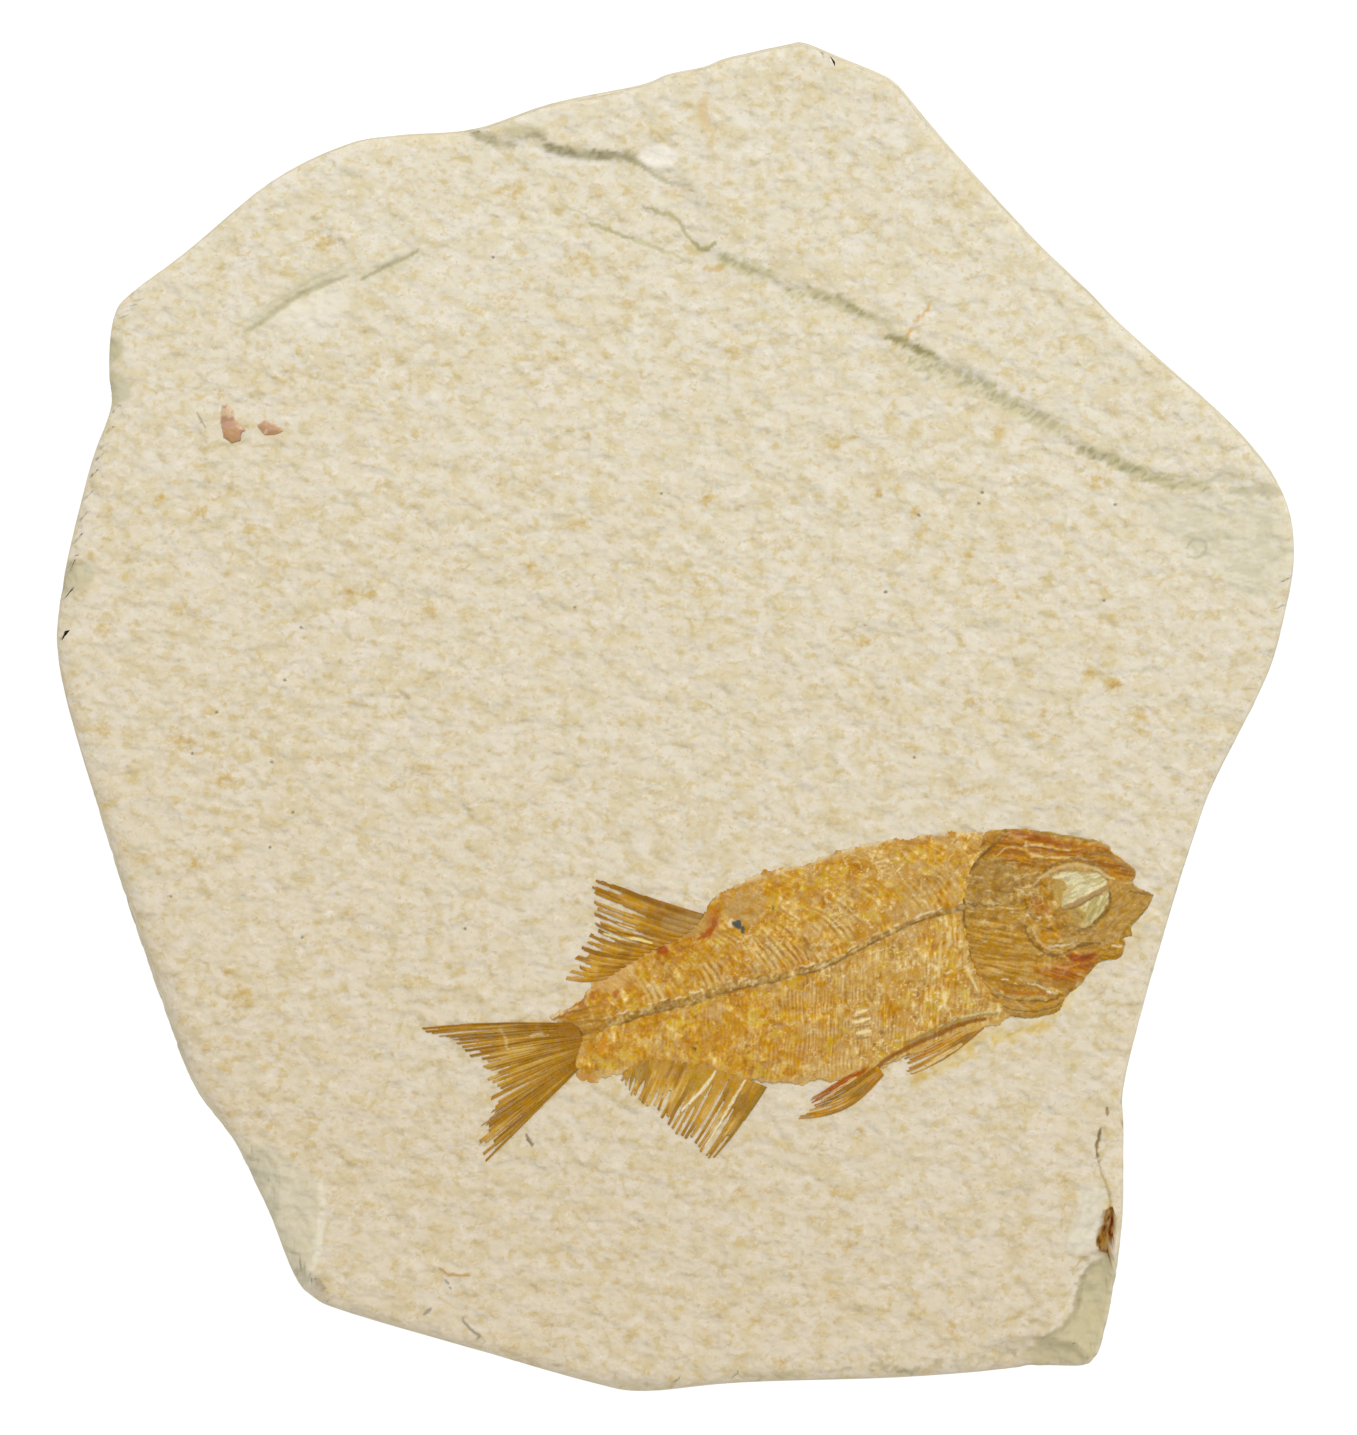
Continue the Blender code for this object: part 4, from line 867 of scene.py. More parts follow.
breastMarks = (
    {"line": ((998, 1012), (978, 1015), (955, 1021), (937, 1029), (905, 1043)), "colour": "#8f7a48",
     "width": 0.6, "share": 0.7, "wobble": 0.2},
    {"line": ((1000, 1011), (980, 1013), (958, 1018), (938, 1027)), "colour": "#dcc894", "width": 0.3,
     "share": 0.6, "broken": 0.4},
    {"line": ((985, 1019), (966, 1022), (937, 1034), (912, 1045), (888, 1058), (875, 1070)),
     "colour": "#8a5208", "width": 0.7, "share": 0.9, "rise": 0.06},
    {"line": ((952, 1037), (930, 1050), (906, 1064)), "colour": "#bb7a10", "width": 0.75, "share": 0.85},
    {"line": ((962, 1044), (938, 1059), (912, 1072)), "colour": "#e0c58a", "width": 0.5, "share": 0.75},
    {"line": ((985, 1026), (960, 1034), (935, 1044), (910, 1056)), "colour": "#cfa55c", "width": 0.45,
     "share": 0.7},
)


def shapeTrunk(x, y):
    look = trunkShape
    outline = smooth(onSlab(look["outline"]), 3, closed=True)
    depth, share = depthIn(x, y, outline)
    a, c = alongFish(x, y)
    backbone = smooth(look["backbone"], 6)
    up = c - np.interp(a, backbone[:, 0], backbone[:, 1])
    above, under = np.clip(up, 0, None), np.clip(-up, 0, None)
    wide = np.interp(a, *np.array(look["boneWidth"]).T)
    rear = 1 - ramp(a, 16, 34)
    front = ramp(a, 38, 44)
    nearBone = np.exp(-(np.clip(np.abs(up) - 1, 0, None) / 4.0) ** 2)

    # Spines lean back over the backbone, and ribs hang under it
    root = a + 0.12 * above + 0.05 * above**2 + 0.2 * under + 0.004 * under**2
    root += 0.18 * grain(x, y, 2.2, 158)
    drawn = (grain(root / 0.34, np.abs(up) / 1.3, 1, 160)
             + 0.7 * grain(root / 0.19, np.abs(up) / 0.8, 1, 161)
             + 0.5 * front * (up < 0) * grain(root / 0.8, np.abs(up) / 3.0, 1, 162))
    wx, wy = x + 0.3 * grain(x, y, 0.9, 101), y + 0.3 * grain(x, y, 0.9, 102)
    mottled = 0.95 * cloud(wx, wy, 0.62, 103) + 0.55 * cloud(wx, wy, 1.7, 106)
    lined = np.where(up > 0, 0.4 + 0.3 * nearBone, 0.35 + 0.35 * ramp(a, 24, 34))
    field = mottled * (1 - 0.4 * lined) + drawn * 0.85 * lined + 0.14
    gold = ramp(cloud(x, y, 2.6, 109) + 0.35 * rear + 0.12 * ramp(up, 2, 7)
                - 0.3 * ramp(a, 28, 38) * (1 - ramp(up, -2, 3)), -0.35, 0.45)
    colours = tones(field, look["tan"])
    colours += (tones(field, look["gold"]) - colours) * gold[:, None]
    colours = over(colours, "#bd8516", 0.5 * ramp(cloud(wx, wy, 1.9, 118) + 0.2 * rear,
                                                  0.1, 0.6))
    colours = over(colours, "#ae6f06", 0.55 * ramp(cloud(wx, wy, 0.9, 181) + 0.25 * rear, 0.5, 0.8))
    colours = over(colours, "#c9a738", 0.6 * ramp(cloud(wx, wy, 1.2, 115), 0.3, 0.65))
    colours = over(colours, "#bf9a62", 0.5 * ramp(cloud(wx, wy, 2.2, 187) - 0.2 * rear, 0.2, 0.6))
    flecks = squiggle(wx, wy, 1.1, 0.06, 121) * ramp(cloud(x, y, 2.3, 124), -0.2, 0.4)
    colours = over(colours, "#eed89e", (0.75 - 0.35 * rear) * flecks)
    colours = over(colours, "#eddaa6", (0.5 - 0.3 * rear) * ramp(cloud(x, y, 0.45, 184), 0.5, 0.85))
    dark = squiggle(wx, wy, 1.0, 0.055, 127) * ramp(cloud(x, y, 2.1, 130), -0.15, 0.4)
    colours = over(colours, "#8d6320", 0.5 * dark)
    rise = 0.05 * cloud(x, y, 1.4, 133) + 0.05 * field + 0.03 * flecks - 0.02 * dark

    for side, spacing, seed in ((1, look["spacing"], 139), (-1, look["spacing"] * 0.56, 140)):
        phase = root / spacing + 0.35 * grain(a, c, 2.4, seed)
        which = np.round(phase)
        line = np.abs(phase - which)
        own = 0.5 + 0.5 * grain(which, which * 0 + 0.5, 1, seed + 3)
        if side > 0:
            shown = ramp(up, 0.6, 1.4) * (1 - 0.75 * ramp(up, 4.0, 9.0)) * (1 - 0.5 * ramp(a, 34, 44))
        else:
            shown = ramp(-up, 0.9, 2.2) * (0.35 + 0.45 * ramp(a, 20, 30)) * (1 - 0.6 * front)
        broken = ramp(grain(which * 3.3, np.abs(up) / 1.7, 1, seed + 6) + 0.15, -0.2, 0.4)
        shown = shown * broken * ramp(cloud(a, c, 3.0, seed + 9) + 0.15, -0.1, 0.35)
        ridge = np.exp(-(line / 0.13) ** 2) * shown * (0.25 + 0.75 * own)
        pale = np.exp(-((line - 0.4) / 0.14) ** 2) * shown
        colours = over(colours, "#e2c88e", 0.5 * pale)
        colours = over(colours, "#86642c", 0.75 * ridge)
        rise += 0.07 * ridge + 0.03 * pale

    # The backbone, a row of spools, with a dark rim that is partly the bone's edge and partly painted
    # shade under it, and a painted highlight along its upper side
    bead = a / look["vertebrae"] + 0.12 * grain(a, c, 2.0, 148)
    waist = np.abs(bead - np.round(bead)) * 2
    spool = wide * (0.8 + 0.28 * (1 - waist) ** 2 + 0.3 * grain(a, c, 0.8, 149))
    body = np.clip(1 - (up / spool) ** 2, 0, 1)
    ends = 1 - ramp(a, 52.5, 54.5)
    inBone = ramp(spool + 0.1 - np.abs(up), -0.15, 0.2) * ends
    boneField = 1.2 * cloud(x, y, 0.6, 151) + 0.6 * grain(x, y, 0.25, 154)
    bone = tones(boneField, look["bone"])
    colours += (bone - colours) * (0.75 * inBone)[:, None]
    joint = np.exp(-((1 - waist) / 0.16) ** 2)
    colours = over(colours, "#80622f", 0.35 * inBone * joint)
    # Dark rim round the spools: the bone's edge, made stronger underneath as painted shade
    rim = np.exp(-((np.abs(up) - spool) / 0.11) ** 2) * ends
    rim *= ramp(cloud(a * 0.5, c, 0.8, 157), -0.25, 0.35) * np.where(up < 0, 1.0, 0.6)
    colours = over(colours, "#74521f", 0.7 * rim)
    # Painted highlight: a pale line along the upper side of the backbone
    paintedHighlight = np.exp(-((up - spool - 0.25) / 0.14) ** 2) * ends * ramp(cloud(x, y, 0.9, 166), 0, 0.4)
    colours = over(colours, "#ecdcb2", 0.7 * paintedHighlight)
    rise += np.sqrt(body) * 0.26 * inBone - 0.04 * joint * inBone - 0.05 * rim

    # Rims: rusty along the back, thin and fading along the belly
    scallop = 0.5 + 0.5 * cloud(x, y, 1.3, 136)
    edge = 1 - ramp(depth, 0.2, 1.3 + 0.8 * scallop)
    colours = over(colours, "#b3791c", 0.6 * edge * ramp(up, 0, 2) * ramp(scallop, 0.3, 0.6))
    colours = over(colours, "#cba763", 0.6 * edge * ramp(-up, 0, 2) * (1 - 0.5 * rear))
    thin = (1 - ramp(depth, 0.1, 0.9)) * ramp(cloud(x, y, 0.9, 163), -0.3, 0.25)
    colours = over(colours, "#dccb9c", 0.7 * thin * np.where(up < 0, 0.3, 1.0))

    for mark in trunkMarks + breastMarks:
        colours, rise = drawMark(x, y, mark, colours, rise)
    swell = look["rise"] * (1 - np.exp(-np.clip(depth, 0, 99) / 0.8))
    return 0.04 + swell + rise * ramp(depth, 0, 0.6), colours


headShape = {
    "cell": 0.115,
    "low": 9.5,
    "ragged": 0.2,
    "rise": 0.46,
    "outline": (
        (57.1, 13.2), (60.4, 13.4), (62.6, 12.9), (65.4, 12.0), (68.6, 10.6), (71.2, 9.5),
        (72.5, 8.8), (73.8, 7.8), (73.9, 7.0), (75.2, 5.6), (76.5, 3.6), (75.8, 1.9),
        (77.9, 0.2), (77.9, -0.4), (76.4, -2.0), (74.1, -3.6), (73.9, -4.6), (72.7, -4.8),
        (72.9, -5.6), (71.7, -7.2), (69.6, -7.2), (68.4, -7.3), (67.1, -8.3), (65.6, -9.5),
        (63.5, -10.6), (62.2, -12.1), (59.6, -12.5), (56.6, -12.0), (54.6, -10.9),
        (53.4, -8.6), (52.1, -5.2), (51.7, -1.4), (51.8, 2.6), (52.6, 6.0), (54.2, 8.8)),
    "tones": ((-1.4, "#7a4f08"), (-0.8, "#925f0c"), (-0.3, "#a5741f"), (0.1, "#b08231"),
              (0.5, "#ba8e3c"), (0.9, "#c79f50"), (1.4, "#dcc07c")),
    "eyeMiddle": (950, 560),
    "eye": ((760, 420), (860, 385), (1050, 400), (1115, 440), (1120, 560), (1010, 720),
            (950, 700), (830, 590)),
}

headMarks = (
    # Dark mottled bone behind the eye
    {"patch": ((235, 370), (300, 330), (400, 290), (560, 350), (690, 390), (690, 470), (650, 570),
     (480, 600), (330, 625), (225, 590), (205, 470)), "colour": "#93713a", "width": 1.8, "share": 0.5,
     "wobble": 0.4},
    # Operculum, with fine lines of growth
    {"patch": ((225, 680), (380, 670), (520, 690), (600, 750), (650, 880), (650, 1000), (560, 1045),
     (440, 1050), (370, 1100), (300, 1020), (250, 920), (225, 800)), "colour": "#a4741c", "width": 1.4,
     "rise": 0.06, "streaks": (-10, "#c4994a", 2.8, 0.26)},
    {"patch": ((215, 600), (330, 620), (500, 600), (620, 640), (560, 700), (380, 690), (225, 690)),
     "colour": "#a0762c", "width": 1.2, "share": 0.5, "wobble": 0.3},
    # Roof of the skull: rust band, then cream, orange and brown stripes
    {"patch": ((370, 260), (440, 170), (600, 150), (860, 210), (1120, 240), (1290, 380), (1290, 430),
     (1160, 420), (1040, 350), (880, 330), (760, 360), (690, 400), (560, 350), (430, 290)),
     "colour": "#b87a0a", "width": 1.2, "share": 0.9, "wobble": 0.3,
     "streaks": (-10, "#955806", 3.0, 0.3)},
    {"line": ((400, 300), (470, 240), (540, 230), (640, 270), (740, 300), (860, 290)),
     "colour": "#cfa95e", "width": 0.3, "share": 0.7, "broken": 0.1},
    {"line": ((500, 190), (560, 260), (620, 300)), "colour": "#9c6c2a", "width": 0.35, "share": 0.7},
    {"line": ((590, 225), (700, 222), (800, 245), (880, 250)), "colour": "#d4b470", "width": 0.32,
     "broken": 0.1},
    {"line": ((600, 262), (720, 268), (840, 285), (960, 262), (1080, 262)), "colour": "#b3741a",
     "width": 0.4, "broken": 0.1},
    {"line": ((630, 292), (730, 297), (850, 300), (960, 285)), "colour": "#d8bb7c", "width": 0.3,
     "broken": 0.1},
    {"line": ((640, 345), (740, 335), (820, 315), (900, 322)), "colour": "#b97e1f", "width": 0.45,
     "broken": 0.1},
    {"line": ((450, 160), (540, 150), (640, 175), (740, 195), (840, 215), (900, 215)),
     "colour": "#a86012", "width": 1.05, "share": 0.85, "wobble": 0.25,
     "streaks": (-8, "#985205", 1.4, 0.2)},
    {"line": ((520, 150), (600, 180), (680, 190)), "colour": "#8f4c08", "width": 0.35, "share": 0.6,
     "broken": 0.1},
    {"line": ((820, 215), (940, 225), (1040, 235), (1110, 240)), "colour": "#ae6e18", "width": 0.5,
     "share": 0.75, "broken": 0.1},
    {"line": ((760, 250), (880, 262), (960, 248), (1060, 236)), "colour": "#96580c", "width": 0.3,
     "share": 0.7},
    {"line": ((640, 130), (760, 150), (880, 168), (980, 186), (1070, 196), (1120, 232)),
     "colour": "#8a7034", "width": 0.32, "share": 0.75, "rise": 0.05},
    {"line": ((390, 220), (440, 160), (480, 118), (560, 122)), "colour": "#98713a", "width": 0.6},
    {"line": ((980, 262), (1090, 275), (1180, 320), (1260, 370), (1300, 410)), "colour": "#8f6f3a",
     "width": 0.6, "rise": 0.05},
    {"line": ((880, 300), (970, 290), (1050, 312), (1100, 330)), "colour": "#8f5c12", "width": 0.4,
     "share": 0.75},
    # Arcs over the eye socket
    {"line": ((690, 400), (760, 350), (850, 320), (950, 318), (1040, 345), (1120, 395)),
     "colour": "#8b6a34", "width": 0.45, "share": 0.9, "rise": 0.04},
    {"line": ((650, 470), (690, 430), (740, 390), (820, 358), (920, 345), (1020, 365), (1090, 400),
     (1150, 435)), "colour": "#c7aa72", "width": 0.5, "share": 0.9, "rise": 0.1},
    {"line": ((700, 440), (760, 400), (850, 375), (960, 380), (1060, 410)), "colour": "#a8895a",
     "width": 0.3},
    {"line": ((1050, 380), (1100, 415), (1150, 430)), "colour": "#d8bd86", "width": 0.25, "share": 1.0},
    {"line": ((660, 420), (710, 380), (770, 350)), "colour": "#7d6334", "width": 0.25, "share": 0.7},
    # Eye socket: two panes of pale matrix with a bar of bone between them
    {"patch": ((760, 470), (800, 425), (870, 385), (960, 392), (1060, 405), (1115, 440), (1120, 560),
     (1070, 640), (1010, 725), (940, 750), (880, 690), (860, 620), (820, 580), (780, 540)),
     "colour": "#b5954f", "width": 0.5, "rise": -0.16, "share": 0.85, "wobble": 0.2},
    {"patch": ((765, 420), (830, 392), (930, 388), (1020, 398), (1060, 408), (1108, 440), (1098, 475),
     (1000, 525), (900, 575), (845, 592), (822, 570), (835, 520), (860, 480), (840, 445)),
     "colour": "#d9cda2", "width": 0.4, "rise": -0.1, "wobble": 0.3,
     "streaks": (24, "#bfb078", 1.3, 0.26), "share": 1.0},
    {"patch": ((940, 600), (1000, 560), (1060, 530), (1112, 508), (1118, 560), (1070, 640), (1010, 718),
     (975, 730), (950, 705), (985, 660), (960, 625)), "colour": "#d3c696", "width": 0.45, "rise": -0.1,
     "wobble": 0.3, "streaks": (60, "#b5a365", 1.2, 0.26), "share": 1.0},
    {"line": ((835, 612), (900, 595), (970, 555), (1040, 520), (1100, 480)), "colour": "#a98858",
     "width": 0.75, "rise": 0.16, "share": 1.0},
    {"line": ((850, 625), (930, 600), (1000, 560), (1070, 520)), "colour": "#86693a", "width": 0.22,
     "share": 0.7},
    {"line": ((855, 480), (880, 500), (860, 530), (835, 540)), "colour": "#c2a878", "width": 0.4},
    {"line": ((1125, 520), (1125, 590), (1085, 650), (1040, 700), (1000, 742), (930, 752)),
     "colour": "#7c5c1e", "width": 0.55, "share": 0.95, "rise": 0.06},
    # Mottled tan bone between the socket and the cheek
    {"patch": ((820, 770), (960, 765), (1110, 740), (1160, 770), (1060, 820), (920, 850), (850, 840)),
     "colour": "#987440", "width": 1.0, "share": 0.6, "wobble": 0.4,
     "streaks": (20, "#c4a76c", 0.9, 0.25)},
    {"patch": ((640, 300), (700, 285), (760, 300), (720, 350), (650, 380)), "colour": "#8b6830",
     "width": 0.9, "share": 0.5, "wobble": 0.4},
    {"line": ((215, 600), (300, 592), (370, 588), (450, 575)), "colour": "#6f5526", "width": 0.45,
     "share": 0.7, "wobble": 0.25, "broken": 0.1},
    {"line": ((800, 660), (860, 640), (920, 640), (950, 680)), "colour": "#7f6334", "width": 0.35,
     "share": 0.7, "broken": 0.2},
    {"line": ((820, 740), (880, 720), (940, 740)), "colour": "#8c6d3c", "width": 0.5, "share": 0.7,
     "broken": 0.2},
    # Snout, plain and tan
    {"patch": ((1125, 480), (1200, 455), (1290, 480), (1405, 545), (1350, 625), (1245, 730), (1205, 790),
     (1100, 860), (1000, 850), (900, 810), (1010, 750), (1090, 670), (1140, 570)), "colour": "#a97f37",
     "width": 0.9, "share": 0.75, "wobble": 0.3, "streaks": (40, "#b8924e", 0.9, 0.25)},
    {"line": ((1400, 560), (1340, 640), (1250, 725), (1205, 785), (1195, 830)), "colour": "#96700c",
     "width": 0.4, "share": 0.9, "rise": 0.04},
    {"line": ((1250, 510), (1330, 520), (1400, 540)), "colour": "#7d6436", "width": 0.35},
    {"line": ((1290, 420), (1270, 470), (1300, 510)), "colour": "#8c7038", "width": 0.3},
    # Cheek: orange patches, then rust-red bone with fine lines
    {"patch": ((590, 560), (640, 545), (700, 560), (745, 620), (750, 655), (660, 640)),
     "colour": "#b5781a", "width": 0.8, "share": 0.7, "wobble": 0.3,
     "streaks": (-35, "#a3640c", 1.0, 0.25)},
    {"patch": ((670, 770), (740, 735), (820, 755), (835, 800), (760, 830), (690, 820)),
     "colour": "#c08a28", "width": 0.7, "share": 0.75, "wobble": 0.3,
     "streaks": (-20, "#a9701a", 1.0, 0.25)},
    {"line": ((600, 655), (680, 672), (760, 665)), "colour": "#d9bf8e", "width": 0.4, "broken": 0.15},
    {"line": ((590, 720), (615, 790), (660, 850), (720, 895), (800, 905), (880, 880), (960, 840),
     (1060, 830)), "colour": "#735320", "width": 0.42, "rise": 0.1, "wobble": 0.25, "broken": 0.1},
    {"line": ((640, 740), (665, 800), (720, 860), (800, 880)), "colour": "#cfa768", "width": 0.35,
     "rise": 0.04},
    {"line": ((700, 855), (800, 850), (900, 835)), "colour": "#e0cfa6", "width": 0.35, "share": 0.7,
     "broken": 0.2},
    {"patch": ((650, 985), (780, 985), (880, 950), (1010, 935), (1045, 955), (980, 1020), (930, 1060),
     (860, 1085), (770, 1065), (700, 1035)), "colour": "#9a5006", "width": 0.8, "share": 0.9,
     "rise": 0.05, "wobble": 0.3, "streaks": (-18, "#b4782a", 1.6, 0.2)},
    {"patch": ((850, 905), (940, 905), (1035, 895), (1040, 915), (990, 940), (900, 945)),
     "colour": "#a64e06", "width": 0.5, "share": 0.95, "rise": 0.05, "wobble": 0.2,
     "streaks": (12, "#8c4204", 1.2, 0.2)},
    {"line": ((760, 970), (840, 985), (930, 960)), "colour": "#c98d4c", "width": 0.35},
    {"line": ((890, 885), (960, 880), (1040, 880)), "colour": "#c08a35", "width": 0.4},
    {"patch": ((1045, 880), (1130, 850), (1205, 860), (1215, 900), (1190, 940), (1120, 948),
     (1060, 925)), "colour": "#b3821f", "width": 0.4, "share": 0.9, "rise": 0.08,
     "streaks": (-5, "#9a6a0a", 1.0, 0.2)},
    {"line": ((1060, 925), (1120, 945), (1190, 938), (1212, 905)), "colour": "#8f6c1c", "width": 0.35},
    {"line": ((1140, 850), (1180, 858), (1200, 850)), "colour": "#e2cf9c", "width": 0.3},
    # Under the gill cover: a broken white edge with a thin painted shadow under it, then the bands of
    # the gill rays
    {"line": ((400, 1060), (480, 1080), (560, 1100), (680, 1100), (780, 1085), (900, 1085)),
     "colour": "#a4701a", "width": 1.0, "share": 0.75, "wobble": 0.3},
    # Painted shadow under the white edge
    {"line": ((440, 1075), (520, 1095), (600, 1100), (700, 1095)), "colour": "#7d5c22", "width": 0.3,
     "share": 0.5, "broken": 0.1},
    {"line": ((445, 1062), (490, 1064), (540, 1086), (600, 1078), (645, 1088), (720, 1076)),
     "colour": "#e6dab8", "width": 0.26, "share": 0.75, "rise": 0.05, "broken": 0.35},
    {"line": ((640, 1090), (700, 1110), (760, 1138), (800, 1146)), "colour": "#ddcda2", "width": 0.3,
     "share": 0.7, "broken": 0.2},
    {"line": ((330, 1060), (380, 1120), (450, 1160), (560, 1180), (680, 1172), (800, 1145)),
     "colour": "#b39b62", "width": 0.4, "share": 0.7, "rise": 0.08, "broken": 0.1},
    {"patch": ((728, 1140), (748, 1136), (756, 1150), (736, 1156)), "colour": "#f1e9d2", "width": 0.15,
     "share": 1.0},
    {"line": ((400, 1185), (500, 1220), (620, 1235), (740, 1212), (840, 1180)), "colour": "#b98833",
     "width": 0.75, "share": 0.9, "rise": 0.08},
    {"line": ((420, 1215), (520, 1250), (640, 1262), (760, 1240), (830, 1205)), "colour": "#7f6128",
     "width": 0.25},
    {"line": ((440, 1240), (540, 1278), (660, 1285), (760, 1262), (825, 1225)), "colour": "#b28435",
     "width": 0.6, "share": 0.9, "rise": 0.06},
    {"line": ((640, 1295), (740, 1278), (815, 1240), (840, 1195)), "colour": "#9f7a22", "width": 0.35},
    {"line": ((860, 1110), (920, 1075), (960, 1040)), "colour": "#b07a34", "width": 0.5, "share": 0.7},
    {"line": ((430, 1115), (540, 1140), (660, 1150), (760, 1160)), "colour": "#a9670e", "width": 0.6,
     "wobble": 0.2},
    {"line": ((410, 1150), (520, 1185), (640, 1200), (750, 1190), (830, 1160)), "colour": "#6f5018",
     "width": 0.35, "wobble": 0.2, "broken": 0.05},
    {"line": ((600, 195), (606, 240), (640, 280), (700, 292)), "colour": "#dcbb78", "width": 0.35,
     "broken": 0.05},
    {"line": ((400, 330), (470, 310), (560, 330), (640, 345)), "colour": "#8a5c14", "width": 0.5,
     "share": 0.7, "wobble": 0.3, "broken": 0.1},
    {"line": ((560, 420), (640, 400), (700, 385)), "colour": "#d0b27a", "width": 0.35, "share": 0.7,
     "wobble": 0.2, "broken": 0.2},
    {"line": ((590, 580), (640, 660), (700, 720), (790, 760)), "colour": "#74541f", "width": 0.4,
     "share": 0.7, "wobble": 0.3, "broken": 0.15},
    {"line": ((215, 820), (228, 880), (246, 940)), "colour": "#ecdfba", "width": 0.32, "share": 0.85,
     "broken": 0.15},
    # The shoulder girdle along the back of the head
    {"line": ((480, 130), (420, 190), (370, 252), (300, 318), (242, 390), (212, 460)),
     "colour": "#805412", "width": 0.5, "share": 0.85, "rise": 0.1, "wobble": 0.25, "broken": 0.05},
    {"line": ((212, 460), (200, 520), (214, 590), (215, 690), (224, 800), (242, 900), (268, 990),
     (312, 1072), (372, 1142), (432, 1180)), "colour": "#7f5a18", "width": 0.42, "share": 0.85,
     "rise": 0.1, "wobble": 0.2, "broken": 0.05},
    {"line": ((262, 930), (292, 1010), (340, 1085), (400, 1150)), "colour": "#b97d1f", "width": 0.42,
     "share": 0.9},
    {"line": ((240, 385), (262, 350), (330, 280), (380, 240)), "colour": "#6e4a1c", "width": 0.25},
    {"line": ((255, 300), (300, 268), (350, 230)), "colour": "#e6cf96", "width": 0.4, "share": 0.7,
     "broken": 0.2},
)


def shapeHead(x, y):
    look = headShape
    outline = smooth(onSlab(look["outline"]), 3, closed=True)
    depth, share = depthIn(x, y, outline)
    a, c = alongFish(x, y)
    wx, wy = x + 0.3 * grain(x, y, 0.9, 201), y + 0.3 * grain(x, y, 0.9, 202)

    # Fibres of the bone run round the eye socket, and along the head elsewhere
    ex, ey = fromGrid([look["eyeMiddle"]], "head")[0]
    far, turned = np.hypot(x - ex, (y - ey) * 1.2), np.arctan2(y - ey, ex - x)
    around = grain(turned * 2.4, far / 0.3, 1, 203) + 0.6 * grain(turned * 4, far / 0.18, 1, 204)
    along = streaks(wx, wy, -10, 2.4, 0.32, 207) + 0.6 * streaks(wx, wy, -4, 1.5, 0.2, 208)
    nearEye = 1 - ramp(far, 4.5, 7.0)
    fibres = along + (around - along) * nearEye
    field = 0.7 * fibres + 0.85 * cloud(wx, wy, 0.75, 209) + 0.12 * grain(x, y, 0.25, 212) + 0.12
    colours = tones(1.3 * field, look["tones"])
    colours = over(colours, "#b0802a", 0.4 * ramp(cloud(x, y, 2.0, 213), 0.0, 0.4))
    rise = 0.05 * cloud(x, y, 1.7, 216) + 0.04 * field
    for mark in headMarks:
        colours, rise = drawMark(x, y, {"grid": "head", **mark}, colours, rise)

    # Worn bone: fine dark lines, small pits and pale flecks, most of all behind the eye
    rough = 0.35 + 0.65 * np.exp(-(((a - 59) / 6) ** 2 + ((c - 3.5) / 4) ** 2))
    rough *= 1 - 0.8 * inside(x, y, fromGrid(look["eye"], "head"))
    lines = fibres * 0.7 + 0.6 * cloud(x, y, 0.5, 219)
    colours = over(colours, "#664410", 0.75 * rough * ramp(lines, 0.3, 0.85))
    colours = over(colours, "#d2ac58", 0.4 * rough * ramp(-lines, 0.15, 0.5))
    colours = over(colours, "#e2c994", 0.7 * rough * ramp(-lines, 0.45, 0.95))
    thread = squiggle(wx, wy, 1.3, 0.05, 222) * ramp(cloud(x, y, 1.8, 225), -0.1, 0.4)
    colours = over(colours, "#e2cc9a", 0.5 * rough * thread)
    thread = squiggle(wx, wy, 1.2, 0.05, 228) * ramp(cloud(x, y, 1.8, 231), -0.1, 0.4)
    colours = over(colours, "#634410", 0.5 * rough * thread)
    colours = colours * (1 + 0.1 * rough * grain(x, y, 0.3, 234))[:, None]
    rise += 0.03 * rough * lines
    edge = 1 - ramp(depth, 0.05, 0.5 + 0.3 * cloud(x, y, 1.0, 237))
    colours = over(colours, "#98762f", 0.4 * edge * ramp(cloud(x, y, 1.2, 219), -0.3, 0.2))
    thin = (1 - ramp(depth, 0.0, 0.35)) * ramp(cloud(x, y, 0.7, 240), -0.2, 0.3)
    colours = over(colours, "#cdb578", 0.6 * thin)
    swell = look["rise"] * (1 - np.exp(-np.clip(depth, 0, 99) / 0.55))
    return 0.04 + swell + rise * ramp(depth, 0, 0.45), colours


